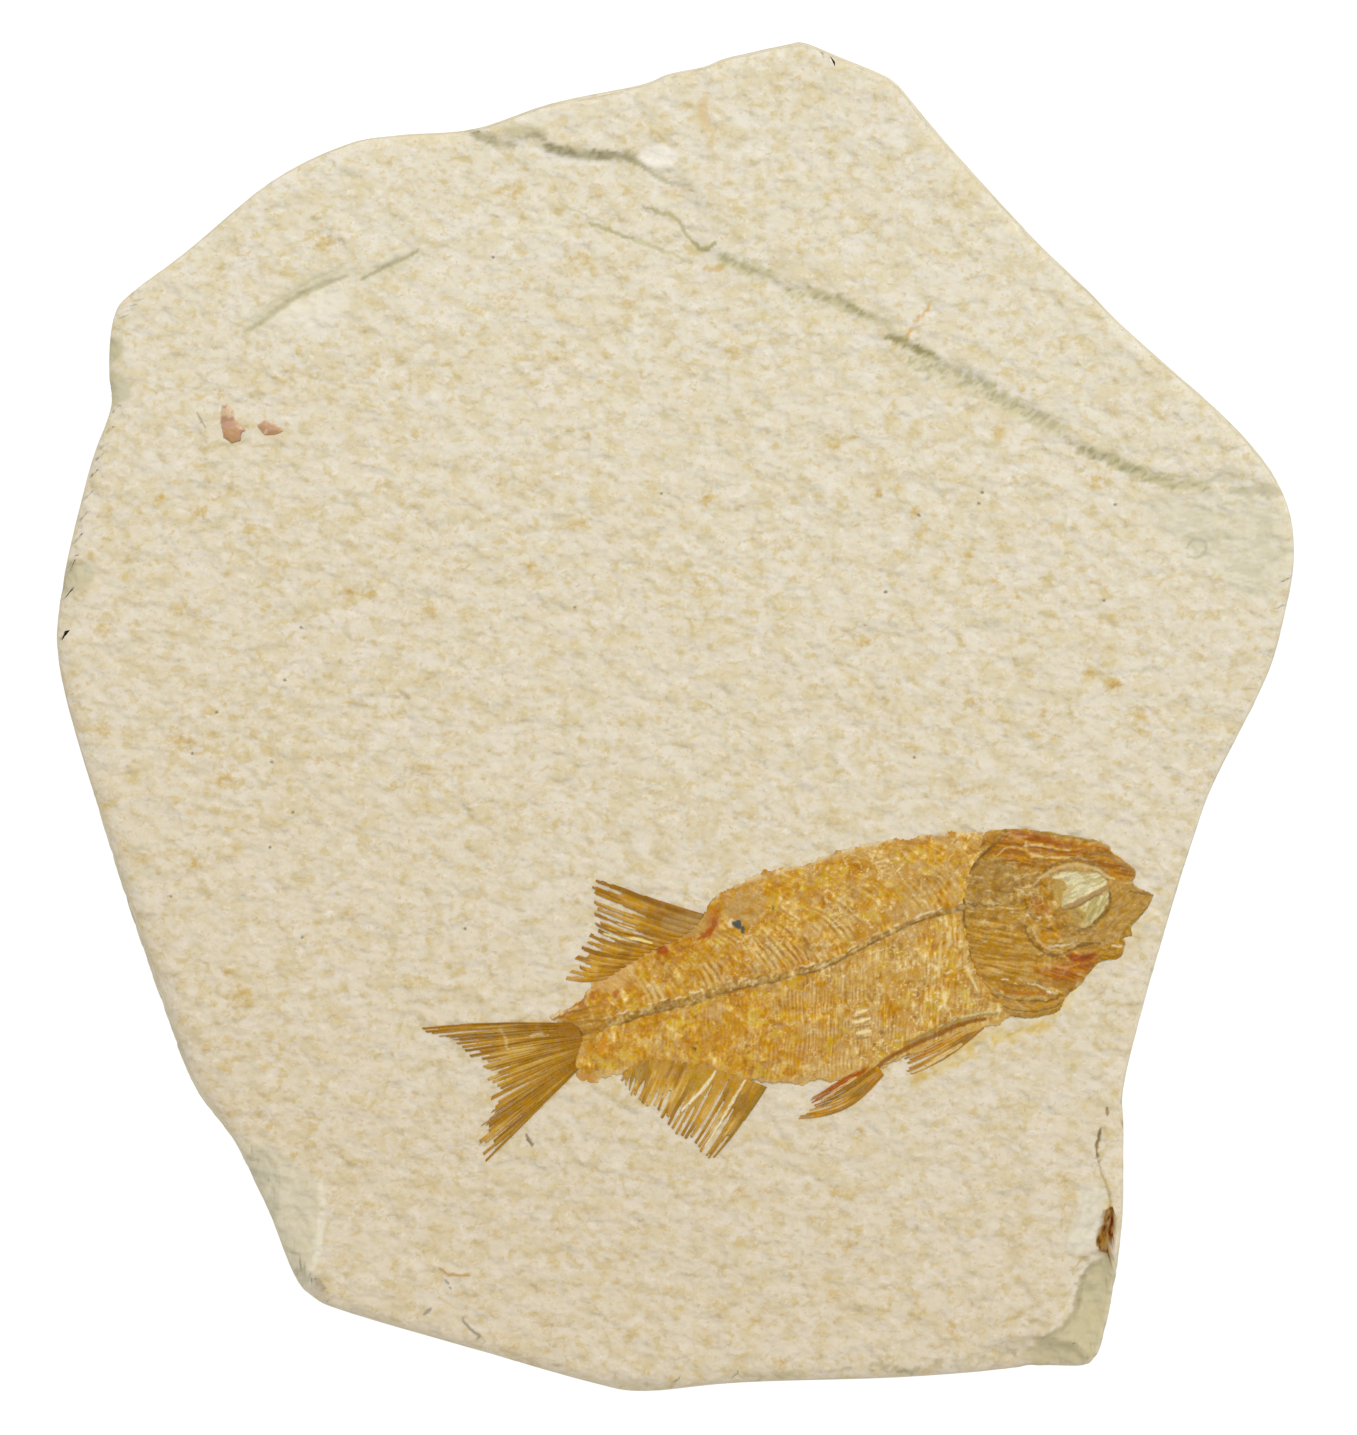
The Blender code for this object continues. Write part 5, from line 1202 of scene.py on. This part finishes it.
# The fins: roots and tips on the grid for the whole slab, number of rays, the share of their
# length that a film joins, and how far rays may be missing at their tips
fins = {
    "dorsal_fin": {
        "roots": ((704, 914), (694, 928), (672, 942), (650, 952), (626, 966), (604, 980)),
        "tips": ((596, 874), (591, 884), (586, 891), (585, 900), (584, 908), (588, 917),
                 (593, 926), (588, 935), (580, 945), (577, 952), (571, 958), (573, 967),
                 (567, 974), (565, 979)),
        "rays": 17, "joined": 0.55, "missing": 0.1, "gap": 0.44, "bow": 0.35,
        "ray": "#9d660c", "between": "#ba8a2c", "light": "#d2aa54", "edge": "#84560f",
        "edgeAt": 0.0,
        "marks": (
            {"line": ((703, 914), (680, 902), (655, 893), (630, 884), (612, 878)), "colour": "#84591a",
             "width": 0.9, "share": 0.75},
            {"patch": ((668, 916), (700, 914), (704, 922), (686, 932), (664, 930)), "colour": "#a88a55",
             "width": 0.8, "share": 0.6, "wobble": 0.3},
            {"line": ((604, 934), (622, 938), (638, 939), (652, 943)), "colour": "#e6d492",
             "width": 0.45, "share": 0.9},
            {"line": ((601, 931), (622, 933), (640, 936), (654, 940)), "colour": "#8a6220",
             "width": 0.35},
            {"line": ((615, 924), (628, 927), (634, 929)), "colour": "#e2cf9c", "width": 0.3},
            {"line": ((590, 934), (604, 940), (626, 944), (640, 946)), "colour": "#8d6418", "width": 0.6,
             "share": 0.7},
            {"line": ((594, 911), (612, 911), (630, 910)), "colour": "#b59a68", "width": 0.6,
             "share": 0.7})},
    "tail_fin": {
        "roots": ((584, 1023), (589, 1030), (591, 1036), (589, 1046), (581, 1067)),
        "tips": ((418, 1026), (431, 1037), (453, 1042), (458, 1049), (466, 1058), (473, 1067),
                 (484, 1074), (487, 1083), (488, 1093), (487, 1103), (487, 1113), (481, 1124),
                 (475, 1134), (479, 1144), (481, 1152), (485, 1163)),
        "rays": 40, "joined": 0.72, "missing": 0.07, "gap": 0.36, "bow": -0.3,
        "ray": "#93620f", "between": "#b4862c", "light": "#d2b062", "edge": "#8f6410",
        "edgeAt": 1.0,
        "marks": (
            {"patch": ((560, 1022), (584, 1024), (588, 1036), (580, 1044), (566, 1042), (552, 1034)),
             "colour": "#a06a0e", "width": 1.6, "share": 0.45, "wobble": 0.4},
            {"line": ((530, 1036), (540, 1034), (548, 1035)), "colour": "#dcc9a0", "width": 0.5,
             "share": 0.6, "broken": 0.2},
            {"line": ((500, 1028), (506, 1038), (508, 1050)), "colour": "#d8c38e", "width": 0.4,
             "share": 0.6, "broken": 0.2},
            {"patch": ((482, 1070), (494, 1068), (500, 1080), (488, 1088)), "colour": "#cfae58",
             "width": 0.9, "share": 0.6, "wobble": 0.3})},
    "anal_fin": {
        "roots": ((767, 1087), (745, 1078), (722, 1071), (700, 1065), (680, 1061),
                  (662, 1060), (646, 1060), (632, 1065), (623, 1073)),
        "tips": ((717, 1158), (703, 1159), (690, 1147), (677, 1137), (664, 1125),
                 (654, 1114), (640, 1104), (632, 1097), (627, 1087), (620, 1079)),
        "rays": 24, "joined": 0.45, "missing": 0.06, "gap": 0.4, "bow": 0.15,
        "ray": "#a8781a", "between": "#c59842", "light": "#dcbe74", "edge": "#92701a",
        "edgeAt": 0.0,
        "marks": (
            {"line": ((766, 1087), (756, 1106), (746, 1122)), "colour": "#8c6b12", "width": 0.9},
            {"patch": ((690, 1072), (716, 1074), (716, 1096), (700, 1104), (688, 1090)),
             "colour": "#bd9434", "width": 1.6, "share": 0.5, "wobble": 0.4},
            {"line": ((715, 1071), (704, 1088), (692, 1100), (682, 1110)), "colour": "#ebe0bd",
             "width": 0.4, "share": 0.85},
            {"line": ((745, 1079), (733, 1100), (720, 1122), (706, 1146)), "colour": "#e9dcb4",
             "width": 0.35, "share": 0.85},
            {"patch": ((640, 1062), (650, 1062), (640, 1080), (630, 1086), (626, 1080)),
             "colour": "#92702c", "width": 0.9, "share": 0.6, "wobble": 0.3})},
    "pelvic_fin": {
        "roots": ((884, 1075), (877, 1066), (863, 1066)),
        "tips": ((796, 1120), (803, 1109), (812, 1097)),
        "rays": 11, "joined": 0.62, "missing": 0.12, "gap": 0.36, "bow": 1.7,
        "ray": "#ab7420", "between": "#cb9a3e", "light": "#dcb66c", "edge": "#a3540a",
        "edgeAt": 0.75,
        "marks": (
            {"line": ((862, 1071), (850, 1075), (838, 1082), (824, 1091), (811, 1100)),
             "colour": "#a95608", "width": 1.2, "share": 0.92, "wobble": 0.25},
            {"line": ((824, 1090), (812, 1099)), "colour": "#c07810", "width": 0.7},
            {"line": ((874, 1070), (862, 1078), (848, 1087), (822, 1105)), "colour": "#93640f",
             "width": 0.8, "share": 0.85},
            {"line": ((868, 1083), (852, 1093), (838, 1098)), "colour": "#9a7a3c", "width": 0.6,
             "share": 0.7},
            {"line": ((856, 1077), (840, 1087), (820, 1101)), "colour": "#dfc189", "width": 0.35,
             "share": 0.85})},
    "pectoral_fin": {
        "roots": ((984, 1028), (984, 1020), (982, 1014)),
        "tips": ((913, 1076), (903, 1070), (893, 1064), (877, 1067)),
        "rays": 9, "joined": 0.62, "missing": 0.12, "gap": 0.34, "bow": 0.5,
        "ray": "#a87420", "between": "#c79c44", "light": "#dfc07a", "edge": "#845a12",
        "edgeAt": 1.0, "marks": breastMarks},
}


def buildFin(look):
    # A fan of crowned rays that a film joins near the roots, closed underneath.
    roots, tips = (smooth(fromGrid(look[end], "whole"), 8) for end in ("roots", "tips"))
    long = float(np.hypot(*(tips[len(tips) // 2] - roots[len(roots) // 2])))
    bm = bmesh.new()
    bmesh.ops.create_grid(bm, x_segments=look["rays"] * 8, y_segments=int(long / 0.22), size=0.5)
    u, v, z = places(bm.verts).T
    u, v = u + 0.5, v + 0.5
    which = np.floor(np.clip(u, 0, 0.9999) * look["rays"])
    off = np.abs(u * look["rays"] - which - 0.5) * 2

    def spread(line, share):
        spans = np.concatenate([[0], np.cumsum(np.hypot(*np.diff(line, axis=0).T))])
        return [np.interp(share * spans[-1], spans, line[:, i]) for i in (0, 1)]

    # Rays wander a little, and each ends at its own length
    wander = u + 0.35 / look["rays"] * grain(which, v * 3, 1, 301) * v
    rx, ry = spread(roots, np.clip(wander, 0, 1))
    tx, ty = spread(tips, np.clip(wander, 0, 1))
    x, y = rx + (tx - rx) * v, ry + (ty - ry) * v
    nx, ny = -(ty - ry), tx - rx
    norm = np.hypot(nx, ny)
    bow = look["bow"] * np.sin(np.pi * v) * (1 - u if look["edgeAt"] else 1)
    x, y = x + nx / norm * bow, y + ny / norm * bow
    short = np.minimum(which, look["rays"] - 1 - which) > 1
    end = 1 - look["missing"] * short * np.abs(grain(which, which * 0, 1, 302)) * 2
    seam = np.round(u * look["rays"])
    joined = look["joined"] + 0.4 * grain(seam, seam * 0 + 0.5, 1, 303)
    opening = look["gap"] * ramp(v, joined, joined + 0.25) + 0.12 * grain(x, y, 0.7, 304)
    keep = (v < end) & ((off < 1 - opening) | (v < joined))
    bm.verts.ensure_lookup_table()
    put(bm.verts, x, y, u)
    for name in ("u", "v"):
        bm.verts.layers.float.new(name)
    layerU, layerV = (bm.verts.layers.float[name] for name in ("u", "v"))
    for vert, uu, vv in zip(bm.verts, u, v):
        vert[layerU], vert[layerV] = uu, vv
        vert.co.z = 0
    trim(bm, keep)
    edges, rim = addRing(bm, [edge for edge in bm.edges if edge.is_boundary])
    for vert in rim:
        vert.co.z = -1
    bmesh.ops.triangle_fill(bm, edges=edges, use_beauty=False)

    x, y, z = places(bm.verts).T
    u = np.array([vert[layerU] for vert in bm.verts])
    v = np.array([vert[layerV] for vert in bm.verts])
    which = np.floor(np.clip(u, 0, 0.9999) * look["rays"])
    off = np.abs(u * look["rays"] - which - 0.5) * 2
    own = grain(which, which * 0, 1, 305)
    colours = np.tile(np.array(linear(look["between"])[:3]), (len(x), 1))
    colours = over(colours, look["light"], 0.75 * ramp(off, 0.6, 0.95) * ramp(v, 0.1, 0.45)
                   * ramp(grain(which * 7, v * 5, 1, 306) + 0.3, -0.2, 0.4))
    core = 1 - ramp(off + 0.2 * grain(u * 50, v * 7, 1, 307), 0.25, 0.9)
    colours = over(colours, look["ray"], core * (0.55 + 0.35 * own))
    threads = grain(u * look["rays"] * 1.3, v * 3.5, 1, 308)
    colours = over(colours, "#7c5212", 0.5 * ramp(threads + 0.3 * own, 0.15, 0.7))
    colours = over(colours, look["light"], 0.6 * ramp(-threads, 0.2, 0.7) * ramp(v, 0.05, 0.3))
    colours = over(colours, "#c38e2c", 0.35 * ramp(cloud(x, y, 1.8, 310), 0.1, 0.5))
    side = 1 - ramp(np.abs(u - look["edgeAt"]), 0.01, 0.07)
    colours = over(colours, look["edge"], 0.6 * side)
    colours = over(colours, look["ray"], 0.25 * (1 - ramp(v, 0.0, 0.3)))
    rise = np.zeros(len(x))
    for mark in look["marks"]:
        colours, rise = drawMark(x, y, mark, colours, rise)
    wide = [float(np.hypot(*np.diff(line, axis=0).T).sum()) / look["rays"]
            for line in (roots, tips)]
    wide = wide[0] + (wide[1] - wide[0]) * v
    crown = (1 - off**2) * np.minimum(0.2 - 0.1 * v, 0.4 * wide) + 0.1 * (1 - v)
    height = 0.05 + crown + 0.05 * side + 0.02 * grain(u * 40, v * 12, 1, 309) + rise
    put(bm.verts, x, y, np.where(z < -0.5, 9.6, slabHeight(x, y) + height))
    return bm, colours


# Two splinters of bone at the upper left

chipShapes = {
    "bone_chip_left": {
        "middle": (-60.0, 39.6),
        "corners": ((-1.3, 2.6), (-0.4, 2.7), (0.3, 1.9), (0.6, 0.5), (1.6, -0.3), (2.0, -0.9),
                    (1.4, -1.3), (1.3, -2.3), (0.1, -2.7), (-1.0, -1.9), (-1.5, 0.2)),
        "low": 9.5, "cell": 0.12, "rise": 0.34},
    "bone_chip_right": {
        "middle": (-54.9, 39.1),
        "corners": ((-1.7, 0.3), (-1.0, 0.9), (-0.7, 1.2), (0.1, 0.8), (1.0, 0.4), (2.1, -0.5),
                    (0.8, -1.0), (-0.6, -1.1), (-1.2, -0.4)),
        "low": 9.5, "cell": 0.12, "rise": 0.3},
}


def shapeChip(x, y, look):
    outline = np.array(look["corners"]) + np.array(look["middle"])
    depth, share = depthIn(x, y, outline)
    up = (y - look["middle"][1]) / 2.6
    colours = np.tile(np.array(linear("#c1987a")[:3]), (len(x), 1))
    # Mottles, shifted as painted light: paler towards the upper side and darker towards the lower side
    colours = over(colours, "#ae8266", 0.8 * ramp(cloud(x, y, 1.3, 401) - 0.5 * up, -0.1, 0.4))
    colours = over(colours, "#dcc39c", 0.6 * ramp(cloud(x, y, 0.7, 404) + 0.5 * up, 0.15, 0.6))
    colours = over(colours, "#b78a4c", 0.6 * ramp(cloud(x, y, 0.8, 410) - 0.6 * up, 0.3, 0.6))
    # Painted highlight along the upper edge and painted shade along the lower edge
    colours = over(colours, "#e4d2ae", 0.6 * (1 - ramp(depth, 0.05, 0.3)) * ramp(up, -0.6, 0.3))
    colours = over(colours, "#9a6f3e", 0.6 * (1 - ramp(depth, 0.05, 0.25)) * ramp(-up, 0, 0.6))
    swell = look["rise"] * (1 - np.exp(-np.clip(depth, 0, 9) / 0.35))
    return 0.03 + swell + 0.05 * cloud(x, y, 0.8, 407), colours


def buildChip(look):
    outline = np.array(look["corners"]) + np.array(look["middle"])
    bm = buildSheet(outline, look["cell"], 0.1)
    colours = shapeSheet(bm, look["low"], lambda x, y: shapeChip(x, y, look))
    return bm, colours


def boneMaterial(name, look):
    # Fossil bone, a thin phosphate film that iron has stained gold and brown. It has a low
    # waxy sheen where it is dense, and a fine broken grain that takes the shine off.
    material, shader = newMaterial(name, 0.6)
    shader.inputs["Specular IOR Level"].default_value = look["sheen"]
    place = addNode(material, "TexCoord").outputs["Object"]
    paint = addNode(material, "Attribute", attribute_name="paint").outputs["Color"]
    grit = addNode(material, "TexNoise", {"Vector": place, "Scale": 1 / (look["grit"] * mm),
                                          "Detail": 3.0, "Roughness": 0.6}).outputs[0]
    stain = addNode(material, "TexNoise", {"Vector": place, "Scale": 1 / (look["stain"] * mm),
                                           "Detail": 4.0, "Roughness": 0.6}).outputs[0]
    value = addNode(material, "MapRange", {0: grit, 1: 0.3, 2: 0.7, 3: 1 - look["contrast"],
                                           4: 1 + look["contrast"]}).outputs[0]
    shift = addNode(material, "MapRange", {0: stain, 1: 0.3, 2: 0.7, 3: 0.9,
                                           4: 1.12}).outputs[0]
    colour = addNode(material, "HueSaturation", {"Color": paint, "Value": value,
                                                 "Saturation": shift}).outputs[0]
    material.node_tree.links.new(colour, shader.inputs["Base Color"])
    gloss = addNode(material, "MapRange", {0: stain, 1: 0.35, 2: 0.65, 3: look["smooth"],
                                           4: look["rough"]}).outputs[0]
    material.node_tree.links.new(gloss, shader.inputs["Roughness"])
    bump = addNode(material, "Bump", {"Height": stain, "Distance": 0.08 * mm,
                                      "Strength": 1}).outputs[0]
    bump = addNode(material, "Bump", {"Height": grit, "Distance": look["pits"] * mm,
                                      "Strength": 1, "Normal": bump}).outputs[0]
    material.node_tree.links.new(bump, shader.inputs["Normal"])
    return material


filmLook = {"grit": 0.28, "stain": 0.8, "contrast": 0.1, "sheen": 0.2, "smooth": 0.5,
            "rough": 0.72, "pits": 0.05}
splinterLook = {"grit": 0.3, "stain": 0.9, "contrast": 0.08, "sheen": 0.45, "smooth": 0.38,
                "rough": 0.6, "pits": 0.03}


def stoneMaterial():
    # Fine-grained limestone, split along its bedding. It is matt and softly woolly, like
    # coarse cream paper, and mottled yellow and rusty where water has stained the pores.
    look = stoneLook
    stone, shader = newMaterial("split limestone", 0.92)
    shader.inputs["Specular IOR Level"].default_value = 0.25
    place = addNode(stone, "TexCoord").outputs["Object"]
    drawn = addNode(stone, "Mapping", {"Vector": place, "Scale": (1, 1.2, 1),
                                       "Rotation": (0, 0, math.radians(12))}).outputs[0]
    colour = linear(look["base"])
    for hexColour, size, detail, low, high, share in look["mottles"]:
        spots = addNode(stone, "TexNoise", {"Vector": drawn, "Scale": 1 / (size * mm),
                                            "Detail": detail, "Roughness": 0.6,
                                            "Distortion": 0.4}).outputs[0]
        mask = addNode(stone, "MapRange", {0: spots, 1: low, 2: high, 4: share},
                       interpolation_type="SMOOTHSTEP").outputs[0]
        colour = addNode(stone, "Mix", {0: mask, 6: colour, 7: linear(hexColour)},
                         data_type="RGBA").outputs[2]

    # Rust and fresh stone break up into powdery dots inside their patches
    for name, hexColour, size, low, high, pull, share, scattered in look["patches"]:
        amount = addNode(stone, "Attribute", attribute_name=name).outputs["Fac"]
        cluster = addNode(stone, "TexNoise", {"Vector": drawn, "Scale": 1 / (size * 9 * mm),
                                              "Detail": 2.0}).outputs[0]
        stray = addNode(stone, "MapRange", {0: cluster, 1: 0.48, 2: 0.72,
                                            4: scattered}).outputs[0]
        amount = addNode(stone, "Math", {0: amount, 1: stray}, operation="MAXIMUM").outputs[0]
        dots = addNode(stone, "TexNoise", {"Vector": drawn, "Scale": 1 / (size * mm),
                                           "Detail": 4.0, "Roughness": 0.65}).outputs[0]
        dots = addNode(stone, "Math", {0: amount, 1: pull, 2: dots},
                       operation="MULTIPLY_ADD").outputs[0]
        mask = addNode(stone, "MapRange", {0: dots, 1: low, 2: high, 4: share},
                       interpolation_type="SMOOTHSTEP").outputs[0]
        colour = addNode(stone, "Mix", {0: mask, 6: colour, 7: linear(hexColour)},
                         data_type="RGBA").outputs[2]

    # Painted shade: the lower left is made darker and yellower than the upper right, as the light falls
    # off across the slab
    across = addNode(stone, "VectorMath", {0: place, 1: (0.25, 1, 0)},
                     operation="DOT_PRODUCT").outputs[1]
    paintedFalloff = addNode(stone, "MapRange", {0: across, 1: look["paintedFalloff"][0] * mm,
                                       2: look["paintedFalloff"][1] * mm}).outputs[0]
    paintedShadeTint = addNode(stone, "Mix", {0: paintedFalloff, 6: linear(look["old"]), 7: (1, 1, 1, 1)},
                   data_type="RGBA").outputs[2]
    colour = addNode(stone, "Mix", {0: 1.0, 6: colour, 7: paintedShadeTint}, data_type="RGBA",
                     blend_type="MULTIPLY").outputs[2]

    # Beds show as bands on the broken sides
    face = addNode(stone, "NewGeometry").outputs["Normal"]
    upright = addNode(stone, "SeparateXYZ", {0: face}).outputs[2]
    steep = addNode(stone, "MapRange", {0: upright, 1: 0.75, 2: 0.35}).outputs[0]
    beds = addNode(stone, "Mapping", {"Vector": place, "Scale": (1, 1, 14)}).outputs[0]
    band = addNode(stone, "TexNoise", {"Vector": beds, "Scale": 1 / (9.0 * mm), "Detail": 4.0,
                                       "Roughness": 0.6}).outputs[0]
    band = addNode(stone, "MapRange", {0: band, 1: 0.35, 2: 0.65}).outputs[0]
    side = addNode(stone, "Mix", {0: band, 6: linear(look["sideDark"]),
                                  7: linear(look["sideLight"])}, data_type="RGBA").outputs[2]
    colour = addNode(stone, "Mix", {0: steep, 6: colour, 7: side}, data_type="RGBA").outputs[2]

    # The drawn marks, whose alpha says how much they cover
    marks = addNode(stone, "Attribute", attribute_name="marks").outputs
    bare = addNode(stone, "Math", {0: 1.0, 1: marks["Alpha"]}, operation="SUBTRACT").outputs[0]
    colour = addNode(stone, "VectorMath", {0: colour, 1: bare, 2: marks["Color"]},
                     operation="MULTIPLY_ADD").outputs[0]
    stone.node_tree.links.new(colour, shader.inputs["Base Color"])

    # Woolly bumps of the split face, and grit that is drawn coarser than it is, to show
    bump = None
    for size, height, detail in look["bumps"]:
        lumps = addNode(stone, "TexNoise", {"Vector": drawn, "Scale": 1 / (size * mm),
                                            "Detail": detail, "Roughness": 0.5}).outputs[0]
        links = {"Height": lumps, "Distance": height * mm, "Strength": 1}
        if bump:
            links["Normal"] = bump
        bump = addNode(stone, "Bump", links).outputs[0]
    stone.node_tree.links.new(bump, shader.inputs["Normal"])
    return stone


stoneLook = {
    "base": "#e0d7c1",
    # Painted shade: the tint of the lower left, and the span in mm across which it fades out
    "old": "#f3ede6", "paintedFalloff": (-75, 60),
    # Colour, size of spots, detail, noise at which they start and are full, share
    "mottles": (
        ("#e6e0d3", 5.0, 3.0, 0.45, 0.65, 0.5),
        ("#d9cca8", 3.2, 4.0, 0.45, 0.62, 0.75),
        ("#cfc7a8", 2.7, 4.0, 0.54, 0.7, 0.45),
        ("#eae4d6", 1.7, 3.0, 0.54, 0.68, 0.6),
        ("#cfba80", 1.6, 4.0, 0.53, 0.7, 0.65),
        ("#cbb276", 0.85, 4.0, 0.56, 0.74, 0.6),
        ("#bcb18c", 1.0, 3.0, 0.64, 0.78, 0.25),
    ),
    # Attribute, colour, size of dots, noise at which they start and are full, pull, share,
    # and how much is scattered where none is drawn
    "patches": (
        ("rust", "#d0b97c", 1.4, 0.53, 0.82, 0.26, 0.8, 0.3),
        ("rust", "#c8a458", 0.9, 0.6, 0.95, 0.3, 0.85, 0.25),
        ("fresh", "#f1ede3", 0.9, 0.64, 0.92, 0.34, 0.7, 0.0),
    ),
    "sideDark": "#bfb497", "sideLight": "#d9cfb3",
    "bumps": ((2.8, 0.85, 1.0), (1.5, 0.26, 1.0), (0.7, 0.07, 1.0)),
}


def buildLights():
    # A large soft light from the upper right, and even light from all sides.
    world = bpy.data.worlds.new("studio")
    world.use_nodes = True
    world.node_tree.nodes["Background"].inputs[0].default_value = (1, 1, 1, 1)
    world.node_tree.nodes["Background"].inputs[1].default_value = studio["fill"]
    bpy.context.scene.world = world
    sun = bpy.data.lights.new("key", "SUN")
    sun.angle = math.radians(studio["softness"])
    sun.energy = studio["key"] * math.pi / math.sin(math.radians(studio["height"]))
    lamp = bpy.data.objects.new("key", sun)
    lamp.rotation_euler = (math.radians(90 - studio["height"]), 0,
                           math.radians(studio["from"] + 90))
    bpy.context.scene.collection.objects.link(lamp)


def buildFloor():
    bm = bmesh.new()
    bmesh.ops.create_circle(bm, cap_ends=True, segments=96, radius=4)
    bmesh.ops.translate(bm, verts=bm.verts, vec=(0, 0, -0.0001))
    mesh = bpy.data.meshes.new("floor")
    bm.to_mesh(mesh)
    bm.free()
    floor = bpy.data.objects.new("floor", mesh)
    bpy.context.scene.collection.objects.link(floor)
    paper, shader = newMaterial("white paper floor", 0.9)
    shader.inputs["Base Color"].default_value = linear(studio["floor"])
    shader.inputs["Emission Color"].default_value = (1, 1, 1, 1)
    shader.inputs["Emission Strength"].default_value = studio["glow"]
    mesh.materials.append(paper)


def buildCamera():
    # Looks straight down on the slab's face.
    camera = bpy.data.cameras.new("camera")
    camera.lens = 90
    camera.sensor_width = 36
    holder = bpy.data.objects.new("camera", camera)
    holder.location = (studio["middle"][0] * mm, studio["middle"][1] * mm,
                       (slabShape["top"] + studio["covers"] * camera.lens / camera.sensor_width) * mm)
    bpy.context.scene.collection.objects.link(holder)
    bpy.context.scene.camera = holder


studio = {
    "fill": 0.74,
    "key": 0.32,
    "from": 62,              # direction of the light, in degrees from +X
    "height": 48,
    "softness": 24,
    "floor": "#606060",
    "glow": 0.94,
    "middle": (0.2, 0.07),
    "covers": 193.15,        # mm of the slab's face along the long side of the frame
}

bpy.context.scene.view_settings.view_transform = "Standard"
buildLights()
buildFloor()
buildCamera()

print("slab")
stone = stoneMaterial()
slabMesh, slabValues = buildSlab()
finishPiece("split_limestone_slab", slabMesh, stone, "slab", slabValues)

print("fish")
film = boneMaterial("iron-stained fossil bone film", filmLook)
for name, look, shape in (("fish_trunk", trunkShape, shapeTrunk),
                          ("fish_head", headShape, shapeHead)):
    outline = smooth(onSlab(look["outline"]), 4, closed=True)
    sheet = buildSheet(outline, look["cell"], look["ragged"])
    colours = shapeSheet(sheet, look["low"], shape)
    finishPiece(name, sheet, film, "fish", {"paint": colours})
for name, look in fins.items():
    fan, colours = buildFin(look)
    finishPiece(name, fan, film, "fish", {"paint": colours})

print("bone splinters")
splinter = boneMaterial("pink fossil bone, broken", splinterLook)
for name, look in chipShapes.items():
    chip, colours = buildChip(look)
    finishPiece(name + "_splinter", chip, splinter, name, {"paint": colours})
